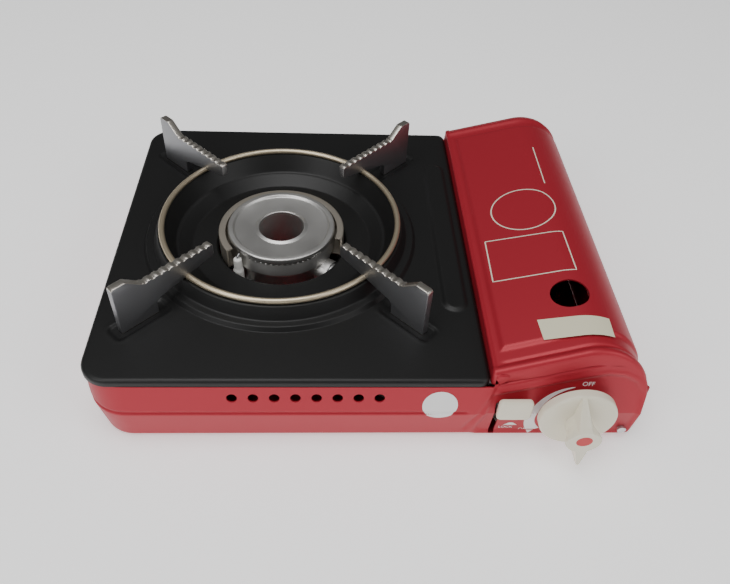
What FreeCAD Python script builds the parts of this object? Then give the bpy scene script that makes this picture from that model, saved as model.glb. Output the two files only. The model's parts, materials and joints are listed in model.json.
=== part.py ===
"""Butane cassette stove: a red pressed tub, a black top plate with its burner, a lift-off pan support,
a control knob, a canister lever and a hinged lid over the canister bay.

Frame: millimetres, X to the right, Y to the rear, Z up. The origin is on the table, under the middle of
the whole stove, knob included.
"""

import FreeCAD, Part
import math
import os

import Sketcher

os.makedirs("parts", exist_ok=True)
doc = FreeCAD.newDocument("cassette_stove")

# Driving dimensions: name, millimetres (or degrees, or a count), what it sizes
SIZES = (
    ("body_width", 340, "overall width"),
    ("body_depth", 270, "depth from the control panel to the rear wall"),
    ("knob_reach", 24, "how far the knob stands out of the control panel"),
    ("foot_height", 2, "clear height under the tub"),
    ("sheet", 1, "sheet thickness of the tub, the plate and the lid"),
    ("rim_height", 49, "top edge of the tub on the burner side"),
    ("crease_height", 28, "height of the crease along the front"),
    ("toe_in", 3.5, "how far the front runs in below the crease"),
    ("side_toe_in", 5, "how far the left side runs in at its foot"),
    ("front_lean", 0.21, "backward lean of the front above the crease, per millimetre of height"),
    ("tub_corner", 26, "upright corner radius of the tub, burner side"),
    ("tub_side_inset", 4.5, "how far the tub's right side stands inside the lid"),
    ("tub_side_height", 24, "top of the tub's low right side"),
    ("bay_width", 96.5, "width of the canister bay and its lid"),
    ("seam", 0.5, "open seam between the lid, the plate and the tub"),
    ("lid_left_height", 59.6, "height of the lid's left edge"),
    ("lid_foot", 49.4, "bottom of the lid's left wall"),
    ("lid_slope", 0.27, "rise of the lid's top, per millimetre to the right"),
    ("lid_corner", 34, "radius where the lid's top meets its side"),
    ("lid_edge_radius", 2, "radius of the lid's left edge"),
    ("lid_skirt", 13, "bottom of the lid's side wall"),
    ("lid_flange", 9.8, "depth of the lid's turned-down ends"),
    ("panel_corner", 25, "upper corner radius of the end panels"),
    ("lid_step_height", 58, "height above which the lid's front end leans with the panel"),
    ("window_radius", 12.4, "round hole in the lid"),
    ("window_inset", 42.1, "hole centre, inside the right side"),
    ("window_back", 59.7, "hole centre, behind the control panel"),
    ("hinge_inset", 6.5, "lid hinge axis, inside the right side"),
    ("hinge_height", 9, "lid hinge axis height"),
    ("hinge_pin_radius", 2, "lid hinge rivet"),
    ("hinge_head_radius", 2.8, "rivet head"),
    ("hinge_head", 1.2, "rivet head thickness"),
    ("ear_radius", 4.6, "lid ear round its rivet"),
    ("ear_thickness", 1.5, "lid ear"),
    ("running_gap", 0.06, "radial clearance of a running fit"),
    ("free_gap", 0.3, "clearance between faces that pass each other"),
    ("vent_radius", 3.15, "front vent hole"),
    ("vent_height", 40.8, "height of the vent row"),
    ("vent_pitch", 12.54, "vent spacing"),
    ("vent_first", -80.7, "first vent"),
    ("vent_count", 8, "vents in the row"),
    ("plate_top", 54, "top of the black plate"),
    ("plate_left_corner", 18, "plate corner radius, left"),
    ("plate_right_corner", 6, "plate corner radius, right"),
    ("plate_margin", 0.3, "how far the plate's edge stands inside the tub's outline"),
    ("burner_x", -57.3, "burner axis, to the right"),
    ("burner_y", 15, "burner axis, to the rear"),
    ("collar_foot", 95, "radius where the collar leaves the plate"),
    ("collar_step", 57, "height of the collar's ledge"),
    ("ledge_outer", 93, "ledge outer radius"),
    ("ledge_inner", 88, "ledge inner radius"),
    ("collar_outer", 84.5, "outer radius of the collar's rim"),
    ("collar_inner", 80.5, "inner radius of the collar's rim"),
    ("collar_top", 66, "top of the collar"),
    ("bowl_ledge", 73.5, "radius of the ledge inside the bowl"),
    ("bowl_floor_radius", 63, "outer radius of the bowl's floor"),
    ("bowl_floor", 48, "height of the bowl's floor"),
    ("bowl_gap", 1, "gap between the bowl's hole and the flame guard"),
    ("channel_width", 15, "foot channel width"),
    ("channel_start", 96, "foot channel, inner end"),
    ("channel_end", 139, "foot channel, outer end"),
    ("channel_depth", 1, "foot channel depth"),
    ("bead_inset", 5.5, "long bead, inside the plate's right edge"),
    ("bead_width", 17.5, "long bead width"),
    ("bead_front", -61.5, "long bead, front end"),
    ("bead_rear", 101.5, "long bead, rear end"),
    ("bead_height", 1.6, "long bead height"),
    ("divider_inset", 2, "divider wall, left of the plate's right edge"),
    ("divider_flange", 6, "divider's top flange width"),
    ("ring_radius", 81.5, "pan support ring, to the wire's centre"),
    ("ring_wire", 2, "ring wire radius"),
    ("ring_height", 68, "ring height"),
    ("leg_thickness", 5, "support leg thickness"),
    ("leg_inner", 60, "leg's inner end"),
    ("leg_outer", 133, "leg's outer end"),
    ("leg_foot_inner", 106, "inner side of the leg's foot"),
    ("leg_top", 82, "toothed top edge"),
    ("leg_tip", 90, "top of the leg's horn"),
    ("leg_horn", 124, "where the horn stands up"),
    ("leg_toothed_end", 112, "outer end of the toothed edge"),
    ("leg_under_outer", 63, "underside of the arm, at the foot"),
    ("leg_under_inner", 73, "underside of the arm, at its inner end"),
    ("leg_round", 2.5, "round corners of the leg"),
    ("leg_foot_round", 4, "inner corner over the leg's foot"),
    ("leg_horn_round", 6, "inner corner at the leg's horn"),
    ("tooth_radius", 1.6, "notch between two teeth"),
    ("tooth_pitch", 5.6, "tooth spacing"),
    ("tooth_count", 9, "notches"),
    ("cap_radius", 37.5, "burner cap"),
    ("cap_top", 62, "top of the burner cap"),
    ("cap_dish", 1.2, "how far the cap's face is dished"),
    ("cap_rim", 4, "width of the cap's raised rim"),
    ("cap_under", 58.4, "underside of the cap"),
    ("burner_eye", 15.7, "radius of the hole through the burner"),
    ("burner_wall", 1.8, "wall of the burner castings"),
    ("port_band", 55.6, "bottom of the band of flame ports"),
    ("port_inset", 1.2, "port band inside the cap's edge"),
    ("port_width", 2, "flame port width"),
    ("port_count", 60, "flame ports"),
    ("skirt_top", 35.1, "burner skirt radius at its top"),
    ("skirt_radius", 37.6, "burner skirt radius at its foot"),
    ("skirt_foot", 47, "height of the skirt's foot"),
    ("burner_waist", 34, "burner body radius below the skirt"),
    ("burner_base", 29.2, "height of the burner's base"),
    ("tube_height", 38.5, "height of the mixing tube's axis"),
    ("tube_radius", 7, "mixing tube outer radius"),
    ("tube_wall", 0.8, "mixing tube wall"),
    ("tube_start", 31, "mixing tube's inner end, from the burner axis"),
    ("tube_end", 118, "mixing tube's outer end"),
    ("tube_bell", 10, "radius of the tube's bell mouth"),
    ("socket_wall", 1.6, "burner socket wall round the tube"),
    ("socket_end", 43, "burner socket's outer end"),
    ("jet_start", 113, "jet tip"),
    ("jet_end", 130, "jet's outer end"),
    ("jet_radius", 4.5, "jet body radius"),
    ("pipe_radius", 2.5, "gas pipe outer radius"),
    ("pipe_bore", 1.5, "gas pipe bore radius"),
    ("pipe_bend", 12, "gas pipe bend radius"),
    ("pipe_run", 7.35, "from the gas pipe's bend to the regulator"),
    ("pipe_entry_back", 28, "where the pipe enters the regulator, behind the control panel"),
    ("guard_radius", 44, "flame guard outer radius"),
    ("guard_thickness", 1, "flame guard sheet"),
    ("guard_top", 59, "top of the flame guard"),
    ("guard_gap", 1.6, "gap between the burner cap and the guard's flat top"),
    ("guard_foot", 43.8, "bottom of the flame guard"),
    ("guard_sweep", 230, "angle that the guard goes round"),
    ("guard_start", -15, "where the guard starts, in degrees from X"),
    ("electrode_angle", 226, "electrode's place round the burner, in degrees from X"),
    ("electrode_reach", 41, "electrode's distance from the burner axis"),
    ("ceramic_radius", 2.6, "ceramic radius"),
    ("ceramic_collar", 3.6, "ceramic collar radius"),
    ("ceramic_top", 56, "top of the ceramic"),
    ("rod_radius", 0.8, "electrode needle radius"),
    ("rod_tip_inset", 2, "how far the needle leans in to the ports"),
    ("rod_bend_rise", 1, "needle's bend, above the ceramic"),
    ("rod_tip_rise", 3, "needle's tip, above the ceramic"),
    ("bracket_sheet", 1.2, "sheet of the inner brackets"),
    ("bracket_half_length", 46, "burner bracket, half its length"),
    ("bracket_width", 24, "burner bracket width"),
    ("bracket_ring", 30, "burner bracket, radius of its ring"),
    ("bracket_foot", 12, "burner bracket, length of each foot"),
    ("bracket_screw", 26, "burner screws, left and right of the burner axis"),
    ("screw_radius", 1.7, "small screws"),
    ("screw_head", 3.2, "small screw head radius"),
    ("screw_head_height", 1.5, "small screw head height"),
    ("knob_inset", 43.5, "knob axis, inside the right side"),
    ("knob_height", 34.5, "knob axis height"),
    ("knob_start", 3.5, "knob's back, before the control panel"),
    ("knob_radius", 23.5, "knob dial radius"),
    ("knob_dial", 6, "knob dial thickness"),
    ("knob_shell", 2, "knob wall"),
    ("knob_hub", 7, "knob hub radius"),
    ("knob_tilt", 5, "how far the knob stands turned at off, in degrees"),
    ("grip_width", 22, "width of the grip's face"),
    ("grip_pointer", 25.4, "pointer tip, from the axis"),
    ("grip_tail", 23, "tail tip, from the axis"),
    ("grip_tip_width", 2.2, "width of the grip's tips"),
    ("grip_face_top", 7.5, "top of the grip's flat face, above the axis"),
    ("shaft_radius", 4, "control shaft"),
    ("shaft_hole", 6, "hole for the shaft in the panel"),
    ("shaft_in_knob", 9, "how deep the shaft reaches into the knob"),
    ("shaft_in_regulator", 6, "how deep the shaft reaches into the regulator"),
    ("cam_radius", 8, "ignition cam"),
    ("cam_arm", 21, "ignition cam's arm, from the axis"),
    ("cam_arm_width", 6, "ignition cam's arm width"),
    ("cam_thickness", 3, "ignition cam"),
    ("cam_back", 7.6, "cam's front face, behind the control panel"),
    ("cam_turn", 7, "cam's arm, turned from upright, in degrees"),
    ("regulator_front", 12, "regulator's front face, behind the control panel"),
    ("regulator_depth", 27, "regulator block depth"),
    ("regulator_width", 34, "regulator block width"),
    ("regulator_bottom", 19.5, "regulator block's underside"),
    ("regulator_top", 50.5, "regulator block's top"),
    ("regulator_corner", 6, "regulator block's corner radius"),
    ("regulator_screw_back", 8, "regulator screws, behind the block's front"),
    ("regulator_screw_up", 9, "regulator screws, above the block's underside"),
    ("regulator_screw_depth", 5, "how deep the screws reach into the block"),
    ("cover_radius", 13, "diaphragm cover radius"),
    ("cover_height", 7, "diaphragm cover height"),
    ("cover_flange", 2, "diaphragm cover's flange, its height and width"),
    ("cover_cone", 3, "how far the cover's cone runs in above its flange"),
    ("canister_axis", 37, "canister axis height"),
    ("canister_radius", 34, "canister radius"),
    ("canister_clear", 0.6, "room round the canister in its saddles"),
    ("collar_length", 6, "regulator's canister collar"),
    ("collar_radius", 13, "regulator's canister collar radius"),
    ("collar_bore", 9, "bore for the canister seat"),
    ("nozzle_radius", 4, "canister seat nozzle"),
    ("nozzle_length", 4, "how far the nozzle stands out"),
    ("seat_bore", 1.2, "gas way through the canister seat"),
    ("seal_thickness", 2, "rubber seal"),
    ("rest_inset", 23, "domed canister rest, inside the right side"),
    ("rest_back", 115, "domed canister rest, behind the control panel"),
    ("rest_height", 9.2, "top of the canister rest"),
    ("rest_radius", 3.6, "canister rest radius"),
    ("rail_inset", 20, "canister rail's left side, inside the right side"),
    ("rail_width", 3, "canister rail width"),
    ("rail_top", 9, "canister rail top"),
    ("rail_front", 126, "canister rail's front end, behind the control panel"),
    ("saddle_length", 14, "canister saddle, along the canister"),
    ("saddle_height", 16, "canister saddle height"),
    ("saddle_front", 143, "front saddle, behind the control panel"),
    ("saddle_rear", 205, "rear saddle, behind the control panel"),
    ("saddle_half_width", 27, "canister saddle, half its width"),
    ("lever_offset", 6.5, "lever plate, right of the bay's left edge"),
    ("lever_sheet", 1.6, "lever plate thickness"),
    ("lever_pivot_back", 57.5, "lever pivot, behind the control panel"),
    ("lever_pivot_height", 24, "lever pivot height"),
    ("lever_pin_height", 46, "lever's drive pin height"),
    ("lever_pin_radius", 2, "lever's drive pin"),
    ("lever_pivot_radius", 2.5, "lever pivot pin"),
    ("lever_low", 29.6, "underside of the lever's arm"),
    ("lever_high", 35.4, "top of the lever's arm"),
    ("lever_eye_wall", 3.5, "lever's metal round its pivot"),
    ("lever_pin_wall", 5, "lever's metal over its drive pin"),
    ("lever_round", 3, "round corners of the lever"),
    ("lever_post_width", 14, "lever bracket, front to rear"),
    ("pivot_head", 1.2, "lever pivot pin's head thickness"),
    ("pivot_head_rim", 1.5, "how far that head stands out all round"),
    ("slot_low", 3.4, "bottom of the lever slot"),
    ("slot_high", 36.5, "top of the lever slot"),
    ("slot_width", 3.6, "lever slot width"),
    ("button_offset", 2, "lever button's left side, left of the lever plate"),
    ("button_width", 21, "lever button width"),
    ("button_low", 28.5, "bottom of the lever button"),
    ("button_high", 45.5, "top of the lever button"),
    ("button_start", 0.6, "lever button's back, before the control panel"),
    ("button_depth", 4.4, "lever button depth"),
    ("button_radius", 2.5, "lever button's edge radius"),
    ("lever_in_button", 3.5, "how deep the plate reaches into the button"),
    ("pusher_offset", 5, "pusher strip, right of the lever plate"),
    ("pusher_width", 7, "pusher strip width"),
    ("pusher_sheet", 1.5, "pusher sheet"),
    ("pusher_tab_half", 6, "pusher's tab, half its width, and its metal over the drive pin"),
    ("pusher_rear", 257, "pusher's rear arm, behind the control panel"),
    ("pusher_arm_width", 58, "pusher's rear arm, across the bay"),
    ("pusher_arm_height", 46, "pusher's rear arm height"),
    ("guide_front", 95, "front guide, behind the control panel"),
    ("guide_rear", 225, "rear guide, behind the control panel"),
    ("guide_length", 10, "guide length"),
    ("foot_radius", 8, "rubber foot radius"),
    ("foot_stem", 3, "rubber foot stem radius"),
    ("foot_inset", 32, "feet, inside the left and right sides"),
    ("foot_front", 26, "front feet, behind the control panel"),
    ("foot_rear", 246, "rear feet, behind the control panel"),
    ("piezo_width", 18, "igniter width"),
    ("piezo_depth", 8.5, "igniter depth"),
    ("piezo_top", 22, "igniter top"),
    ("plunger_inset", 4, "igniter's plunger, inside its right side"),
    ("plunger_radius", 2.5, "igniter's plunger"),
    ("plunger_height", 2, "how far the plunger stands out"),
    ("lead_radius", 1.25, "ignition lead radius"),
    ("lead_height", 7, "height of the lead along the floor"),
    ("lead_back", 22, "lead's run to the right, behind the control panel"),
    ("lead_end_back", 9, "lead's end at the igniter, behind the control panel"),
    ("lead_end_run", 4, "lead's straight end at the igniter"),
    ("lead_rise", 3, "how much higher the lead starts to rise, and its end under the bracket"),
    ("lead_ahead", 45, "lead's first bend, ahead of the electrode"),
    ("lead_aside", 30, "lead's first bend, right of the electrode"),
    ("lead_divider_run", 40, "lead's straight run before the divider"),
    ("lead_bend", 40, "lead's wide bends"),
    ("lead_drop_bend", 6, "lead's bend under the electrode"),
    ("lead_turn", 9, "lead's bend at the lever"),
    ("lead_end_bend", 3, "lead's bend at the igniter"),
)

sheet = doc.addObject("Spreadsheet::Sheet", "Sizes")
for row, (alias, number, note) in enumerate(SIZES, start=1):
    sheet.set(f"A{row}", alias)
    sheet.set(f"B{row}", str(number))
    sheet.set(f"C{row}", note)
    sheet.setAlias(f"B{row}", alias)
doc.recompute()

# Places that several pieces share, as expressions in the sheet's names
HALF_WIDTH = "(Sizes.body_width / 2)"
FRONT = "((Sizes.knob_reach - Sizes.body_depth) / 2)"
REAR = f"({FRONT} + Sizes.body_depth)"
FLOOR = "Sizes.foot_height"
FLOOR_TOP = f"({FLOOR} + Sizes.sheet)"
HINGE_X = f"({HALF_WIDTH} - Sizes.hinge_inset)"
BAY_EDGE = f"({HALF_WIDTH} - Sizes.bay_width)"
LID_REAR = f"({REAR} - Sizes.sheet - Sizes.seam)"
PLATE_RIGHT = f"({BAY_EDGE} - Sizes.seam)"
BEAD_RIGHT = f"({PLATE_RIGHT} - Sizes.bead_inset)"
BEAD_LEFT = f"({BEAD_RIGHT} - Sizes.bead_width)"
BOWL_HOLE = "(Sizes.guard_radius + Sizes.bowl_gap)"
DIVIDER_LEFT = f"({PLATE_RIGHT} - Sizes.divider_inset - Sizes.sheet)"
DIVIDER_TOP = "(Sizes.lid_foot - Sizes.seam)"
LEVER_X = f"({BAY_EDGE} + Sizes.lever_offset)"
LEVER_LEFT = f"({LEVER_X} - Sizes.lever_sheet / 2)"
LEVER_RIGHT = f"({LEVER_X} + Sizes.lever_sheet / 2)"
BUTTON_LEFT = f"({LEVER_X} - Sizes.button_offset)"
LEVER_PIVOT_Y = f"({FRONT} + Sizes.lever_pivot_back)"
PUSHER_LOW = f"({FLOOR_TOP} + Sizes.free_gap)"
PUSHER_LEFT = f"({LEVER_X} + Sizes.pusher_offset)"
BRACKET_TOP = f"({FLOOR_TOP} + Sizes.bracket_sheet)"
KNOB_X = f"({HALF_WIDTH} - Sizes.knob_inset)"
REGULATOR_LEFT = f"({KNOB_X} - Sizes.regulator_width / 2)"
REGULATOR_FRONT = f"({FRONT} + Sizes.regulator_front)"
REGULATOR_REAR = f"({REGULATOR_FRONT} + Sizes.regulator_depth)"
PIPE_ENTRY_Y = f"({FRONT} + Sizes.pipe_entry_back)"
PIPE_CORNER_X = f"({REGULATOR_LEFT} - Sizes.pipe_run)"
TUBE_SLOPE = f"(({PIPE_ENTRY_Y} - Sizes.burner_y) / ({PIPE_CORNER_X} - Sizes.burner_x))"
TUBE_ANGLE = f"atan({TUBE_SLOPE})"
PIEZO_LEFT = f"({REGULATOR_LEFT} - Sizes.bracket_sheet - Sizes.free_gap - Sizes.piezo_width)"
REST_X = f"({HALF_WIDTH} - Sizes.rest_inset)"
RAIL_LEFT = f"({HALF_WIDTH} - Sizes.rail_inset)"
WINDOW_X = f"({HALF_WIDTH} - Sizes.window_inset)"
FOOT_X = f"({HALF_WIDTH} - Sizes.foot_inset)"
SCREW_Y = f"({REGULATOR_FRONT} + Sizes.regulator_screw_back)"
SCREW_Z = "(Sizes.regulator_bottom + Sizes.regulator_screw_up)"
SKY = "(Sizes.leg_tip + 20)"
OUTSIDE = 6

sub_parts = []


def value(expression):
    """The number that an expression in the sheet's names stands for."""
    return float(sheet.evalExpression(str(expression)))


def front_at(height):
    """Where the leaning front stands at a height above the crease."""
    return f"({FRONT} + Sizes.front_lean * ({height} - Sizes.crease_height))"


def lid_height(x, inset="0"):
    """Height of the lid's sloping top at x, moved inwards by an inset square to it."""
    rise = f"Sizes.lid_slope * ({x} - {BAY_EDGE})"
    return f"(Sizes.lid_left_height + {rise} - ({inset}) * sqrt(1 + Sizes.lid_slope ^ 2))"


def new_body(label):
    """A body whose label is the name of its file."""
    body = doc.addObject("PartDesign::Body", label)
    body.Label = label
    sub_parts.append(body)
    return body


def named(feature, label):
    """Makes a Part feature one of the sub-parts."""
    feature.Label = label
    sub_parts.append(feature)
    return feature


def place(obj, x="0", y="0", z="0", turns=()):
    """Binds an object's place to the sheet; turns are (axis, degrees), the first one outermost."""
    rotation = FreeCAD.Rotation()
    for axis, degrees in turns:
        rotation = rotation.multiply(FreeCAD.Rotation(FreeCAD.Vector(*axis), degrees))
    obj.Placement = FreeCAD.Placement(FreeCAD.Vector(value(x), value(y), value(z)), rotation)
    for letter, expression in (("x", x), ("y", y), ("z", z)):
        obj.setExpression(f"Placement.Base.{letter}", expression)


def sketch(body, name, plane, offset="0"):
    """A sketch on one of the body's own planes, moved along the plane's normal."""
    result = body.newObject("Sketcher::SketchObject", name)
    origin_plane = next(f for f in body.Origin.OriginFeatures if f.Role == plane)
    result.AttachmentSupport = (origin_plane, [""])
    result.MapMode = "FlatFace"
    result.setExpression(".AttachmentOffset.Base.z", offset)
    return result


def bind(sk, constraint, expression):
    """Adds a constraint and ties its size to an expression."""
    index = sk.addConstraint(constraint)
    sk.setExpression(f"Constraints[{index}]", expression)


def fix_point(sk, geometry, position, x, y):
    """Ties a point's place to two expressions."""
    bind(sk, Sketcher.Constraint("DistanceX", -1, 1, geometry, position, value(x)), x)
    bind(sk, Sketcher.Constraint("DistanceY", -1, 1, geometry, position, value(y)), y)


def corner_arc(before, corner, after, radius):
    """The arc that rounds a corner: its curve, its two ends, and whether it runs backwards."""
    to_before = (before - corner).normalize()
    to_after = (after - corner).normalize()
    half = to_before.getAngle(to_after) / 2
    reach = radius / math.tan(half)
    start = corner + to_before * reach
    end = corner + to_after * reach
    centre = corner + (to_before + to_after).normalize() * (radius / math.sin(half))
    start_angle = math.atan2(start.y - centre.y, start.x - centre.x)
    end_angle = math.atan2(end.y - centre.y, end.x - centre.x)
    backwards = (corner - before).cross(after - corner).z < 0
    if backwards:
        start_angle, end_angle = end_angle, start_angle
    if end_angle < start_angle:
        end_angle += 2 * math.pi
    circle = Part.Circle(centre, FreeCAD.Vector(0, 0, 1), radius)
    return Part.ArcOfCircle(circle, start_angle, end_angle), start, end, backwards


def outline(sk, points):
    """A closed outline of straight sides; a point is (x, y) or (x, y, corner radius)."""
    corners = [FreeCAD.Vector(value(p[0]), value(p[1]), 0) for p in points]
    count = len(points)
    arcs = {}
    for i, point in enumerate(points):
        if len(point) == 3:
            arcs[i] = corner_arc(corners[i - 1], corners[i], corners[(i + 1) % count], value(point[2]))
    lines = []
    for i in range(count):
        following = (i + 1) % count
        start = arcs[i][2] if i in arcs else corners[i]
        end = arcs[following][1] if following in arcs else corners[following]
        lines.append(sk.addGeometry(Part.LineSegment(start, end), False))
    for i, point in enumerate(points):
        before, after = lines[i - 1], lines[i]
        if i not in arcs:
            sk.addConstraint(Sketcher.Constraint("Coincident", before, 2, after, 1))
            fix_point(sk, after, 1, point[0], point[1])
            continue
        curve, _, _, backwards = arcs[i]
        arc = sk.addGeometry(curve, False)
        first, last = (2, 1) if backwards else (1, 2)
        sk.addConstraint(Sketcher.Constraint("Tangent", before, 2, arc, first))
        sk.addConstraint(Sketcher.Constraint("Tangent", arc, last, after, 1))
        bind(sk, Sketcher.Constraint("Radius", arc, value(point[2])), point[2])
        mark = sk.addGeometry(Part.Point(corners[i]), True)
        fix_point(sk, mark, 1, point[0], point[1])
        sk.addConstraint(Sketcher.Constraint("PointOnObject", mark, 1, before))
        sk.addConstraint(Sketcher.Constraint("PointOnObject", mark, 1, after))


def rectangle(sk, left, right, low, high, radius=None):
    """A rectangle between two columns and two rows, with its corners rounded or not."""
    corners = ((left, low), (right, low), (right, high), (left, high))
    outline(sk, [corner + (radius,) if radius else corner for corner in corners])


def circle(sk, x, y, radius):
    """A circle by its centre and radius."""
    centre = FreeCAD.Vector(value(x), value(y), 0)
    index = sk.addGeometry(Part.Circle(centre, FreeCAD.Vector(0, 0, 1), value(radius)), False)
    bind(sk, Sketcher.Constraint("Radius", index, value(radius)), radius)
    fix_point(sk, index, 3, x, y)


# Which way a pad grows along its sketch's normal: +Z, -Y and +X
NORMAL_SIGN = {"XY_Plane": 1, "XZ_Plane": -1, "YZ_Plane": 1}


def extrude(kind, body, name, plane, draw, low, high):
    """Adds or cuts an outline's prism between two places along the plane's axis."""
    doc.recompute()
    grows_up = NORMAL_SIGN[plane] > 0
    from_low = grows_up == (kind == "Pad")
    start = low if from_low else high
    sk = sketch(body, f"{name}_outline", plane, start if grows_up else f"-({start})")
    draw(sk)
    before = body.Shape.Volume if body.Tip else 0
    feature = body.newObject(f"PartDesign::{kind}", name)
    feature.Profile = sk
    feature.setExpression("Length", f"({high}) - ({low})")
    sk.Visibility = False
    doc.recompute()
    if kind == "Pocket" and feature.Shape.Volume >= before:
        raise RuntimeError(f"{name} cuts nothing")
    return feature


def pad(body, name, plane, draw, low, high):
    """Adds a prism between two places."""
    return extrude("Pad", body, name, plane, draw, low, high)


def pocket(body, name, plane, draw, low, high):
    """Cuts a prism between two places."""
    return extrude("Pocket", body, name, plane, draw, low, high)


def turned(kind, body, name, draw, axis, plane="XZ_Plane", angle="360"):
    """Adds or cuts a solid of revolution about one of the body's own axes."""
    doc.recompute()
    sk = sketch(body, f"{name}_outline", plane)
    draw(sk)
    before = body.Shape.Volume if body.Tip else 0
    feature = body.newObject(f"PartDesign::{kind}", name)
    feature.Profile = sk
    axis_line = next(f for f in body.Origin.OriginFeatures if f.Role == axis)
    feature.ReferenceAxis = (axis_line, [""])
    feature.setExpression("Angle", angle)
    sk.Visibility = False
    doc.recompute()
    if kind == "Groove" and feature.Shape.Volume >= before:
        raise RuntimeError(f"{name} cuts nothing")
    return feature


def around(body, name, features, count):
    """Repeats features round the body's Z axis."""
    pattern = body.newObject("PartDesign::PolarPattern", name)
    pattern.Originals = features
    axis_line = next(f for f in body.Origin.OriginFeatures if f.Role == "Z_Axis")
    pattern.Axis = (axis_line, [""])
    pattern.Angle = 360
    pattern.setExpression("Occurrences", count)
    body.Tip = pattern
    doc.recompute()
    return pattern


def along(body, name, feature, axis, count, pitch):
    """Repeats a feature in a row along one of the body's own axes."""
    pattern = body.newObject("PartDesign::LinearPattern", name)
    pattern.Originals = [feature]
    axis_line = next(f for f in body.Origin.OriginFeatures if f.Role == axis)
    pattern.Direction = (axis_line, [""])
    pattern.setExpression("Length", f"({count} - 1) * {pitch}")
    pattern.setExpression("Occurrences", count)
    body.Tip = pattern
    doc.recompute()
    return pattern


def round_edges(body, name, base, radius, wanted):
    """Fillets the edges that the test picks."""
    edges = [f"Edge{i}" for i, edge in enumerate(base.Shape.Edges, start=1) if wanted(edge)]
    fillet = body.newObject("PartDesign::Fillet", name)
    fillet.Base = (base, edges)
    fillet.setExpression("Radius", radius)
    doc.recompute()
    return fillet


def box(name, x, y, z):
    """A Part box between two places on each axis."""
    solid = doc.addObject("Part::Box", name)
    for side, (low, high) in (("Length", x), ("Width", y), ("Height", z)):
        solid.setExpression(side, f"({high}) - ({low})")
    place(solid, x[0], y[0], z[0])
    return solid


AXIS_TURN = {"X": ((0, 1, 0), 90), "Y": ((1, 0, 0), -90), "Z": ((0, 0, 1), 0)}


def rod(name, axis, x, y, z, radius, length):
    """A Part cylinder that starts at a place and runs along +X, +Y or +Z."""
    solid = doc.addObject("Part::Cylinder", name)
    solid.setExpression("Radius", radius)
    solid.setExpression("Height", length)
    place(solid, x, y, z, (AXIS_TURN[axis],))
    return solid


def fuse(name, solids):
    """One solid made of several that touch or overlap."""
    feature = doc.addObject("Part::MultiFuse", name)
    feature.Shapes = solids
    feature.Refine = True
    doc.recompute()
    return feature


def cut(name, base, tools):
    """A solid with other solids taken out of it."""
    feature = doc.addObject("Part::Cut", name)
    feature.Base = base
    feature.Tool = tools[0] if len(tools) == 1 else fuse(f"{name}_tools", tools)
    doc.recompute()
    return feature


def group(label, solids):
    """Separate solids that share one node."""
    feature = doc.addObject("Part::Compound", label)
    feature.Links = solids
    doc.recompute()
    return named(feature, label)


def rounded_path(points, radii):
    """Straight runs joined by tangent arcs, as one wire."""
    edges = []
    start = points[0]
    for i in range(1, len(points) - 1):
        corner = points[i]
        to_before = (points[i - 1] - corner).normalize()
        to_after = (points[i + 1] - corner).normalize()
        half = to_before.getAngle(to_after) / 2
        reach = radii[i - 1] / math.tan(half)
        arc_start = corner + to_before * reach
        arc_end = corner + to_after * reach
        bisector = (to_before + to_after).normalize()
        middle = corner + bisector * (radii[i - 1] / math.sin(half) - radii[i - 1])
        edges.append(Part.LineSegment(start, arc_start).toShape())
        edges.append(Part.Arc(arc_start, middle, arc_end).toShape())
        start = arc_end
    edges.append(Part.LineSegment(start, points[-1]).toShape())
    return Part.Wire(edges)


def tube_along(label, points, radii, radius, bore=0.0):
    """A round tube or lead that follows a path of runs and arcs."""
    path = rounded_path(points, radii)
    direction = points[1] - points[0]

    def sweep(size):
        ring = Part.Circle(points[0], direction, size).toShape()
        return path.makePipeShell([Part.Wire([ring])], True, False)

    solid = sweep(radius)
    if bore:
        solid = solid.cut(sweep(bore))
    feature = doc.addObject("Part::Feature", label)
    feature.Shape = solid
    feature.Placement = FreeCAD.Placement()
    expected = math.pi * (radius ** 2 - bore ** 2) * path.Length
    print(f"{label}: length {path.Length:.1f} mm, volume {solid.Volume:.1f} of {expected:.1f} mm3")
    return named(feature, label)


def polar(reach, degrees):
    """A place round the burner axis."""
    angle = math.radians(value(degrees))
    return value("Sizes.burner_x") + value(reach) * math.cos(angle), value("Sizes.burner_y") + value(reach) * math.sin(angle)


def end_panel_outline(sk, left, right, low, corner="Sizes.panel_corner"):
    """What an end panel fills under the lid's turned-down end."""
    inset = "Sizes.lid_flange"
    outline(sk, [
        (left, low),
        (right, low),
        (right, lid_height(right, inset), corner),
        (left, lid_height(left, inset)),
    ])


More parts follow.
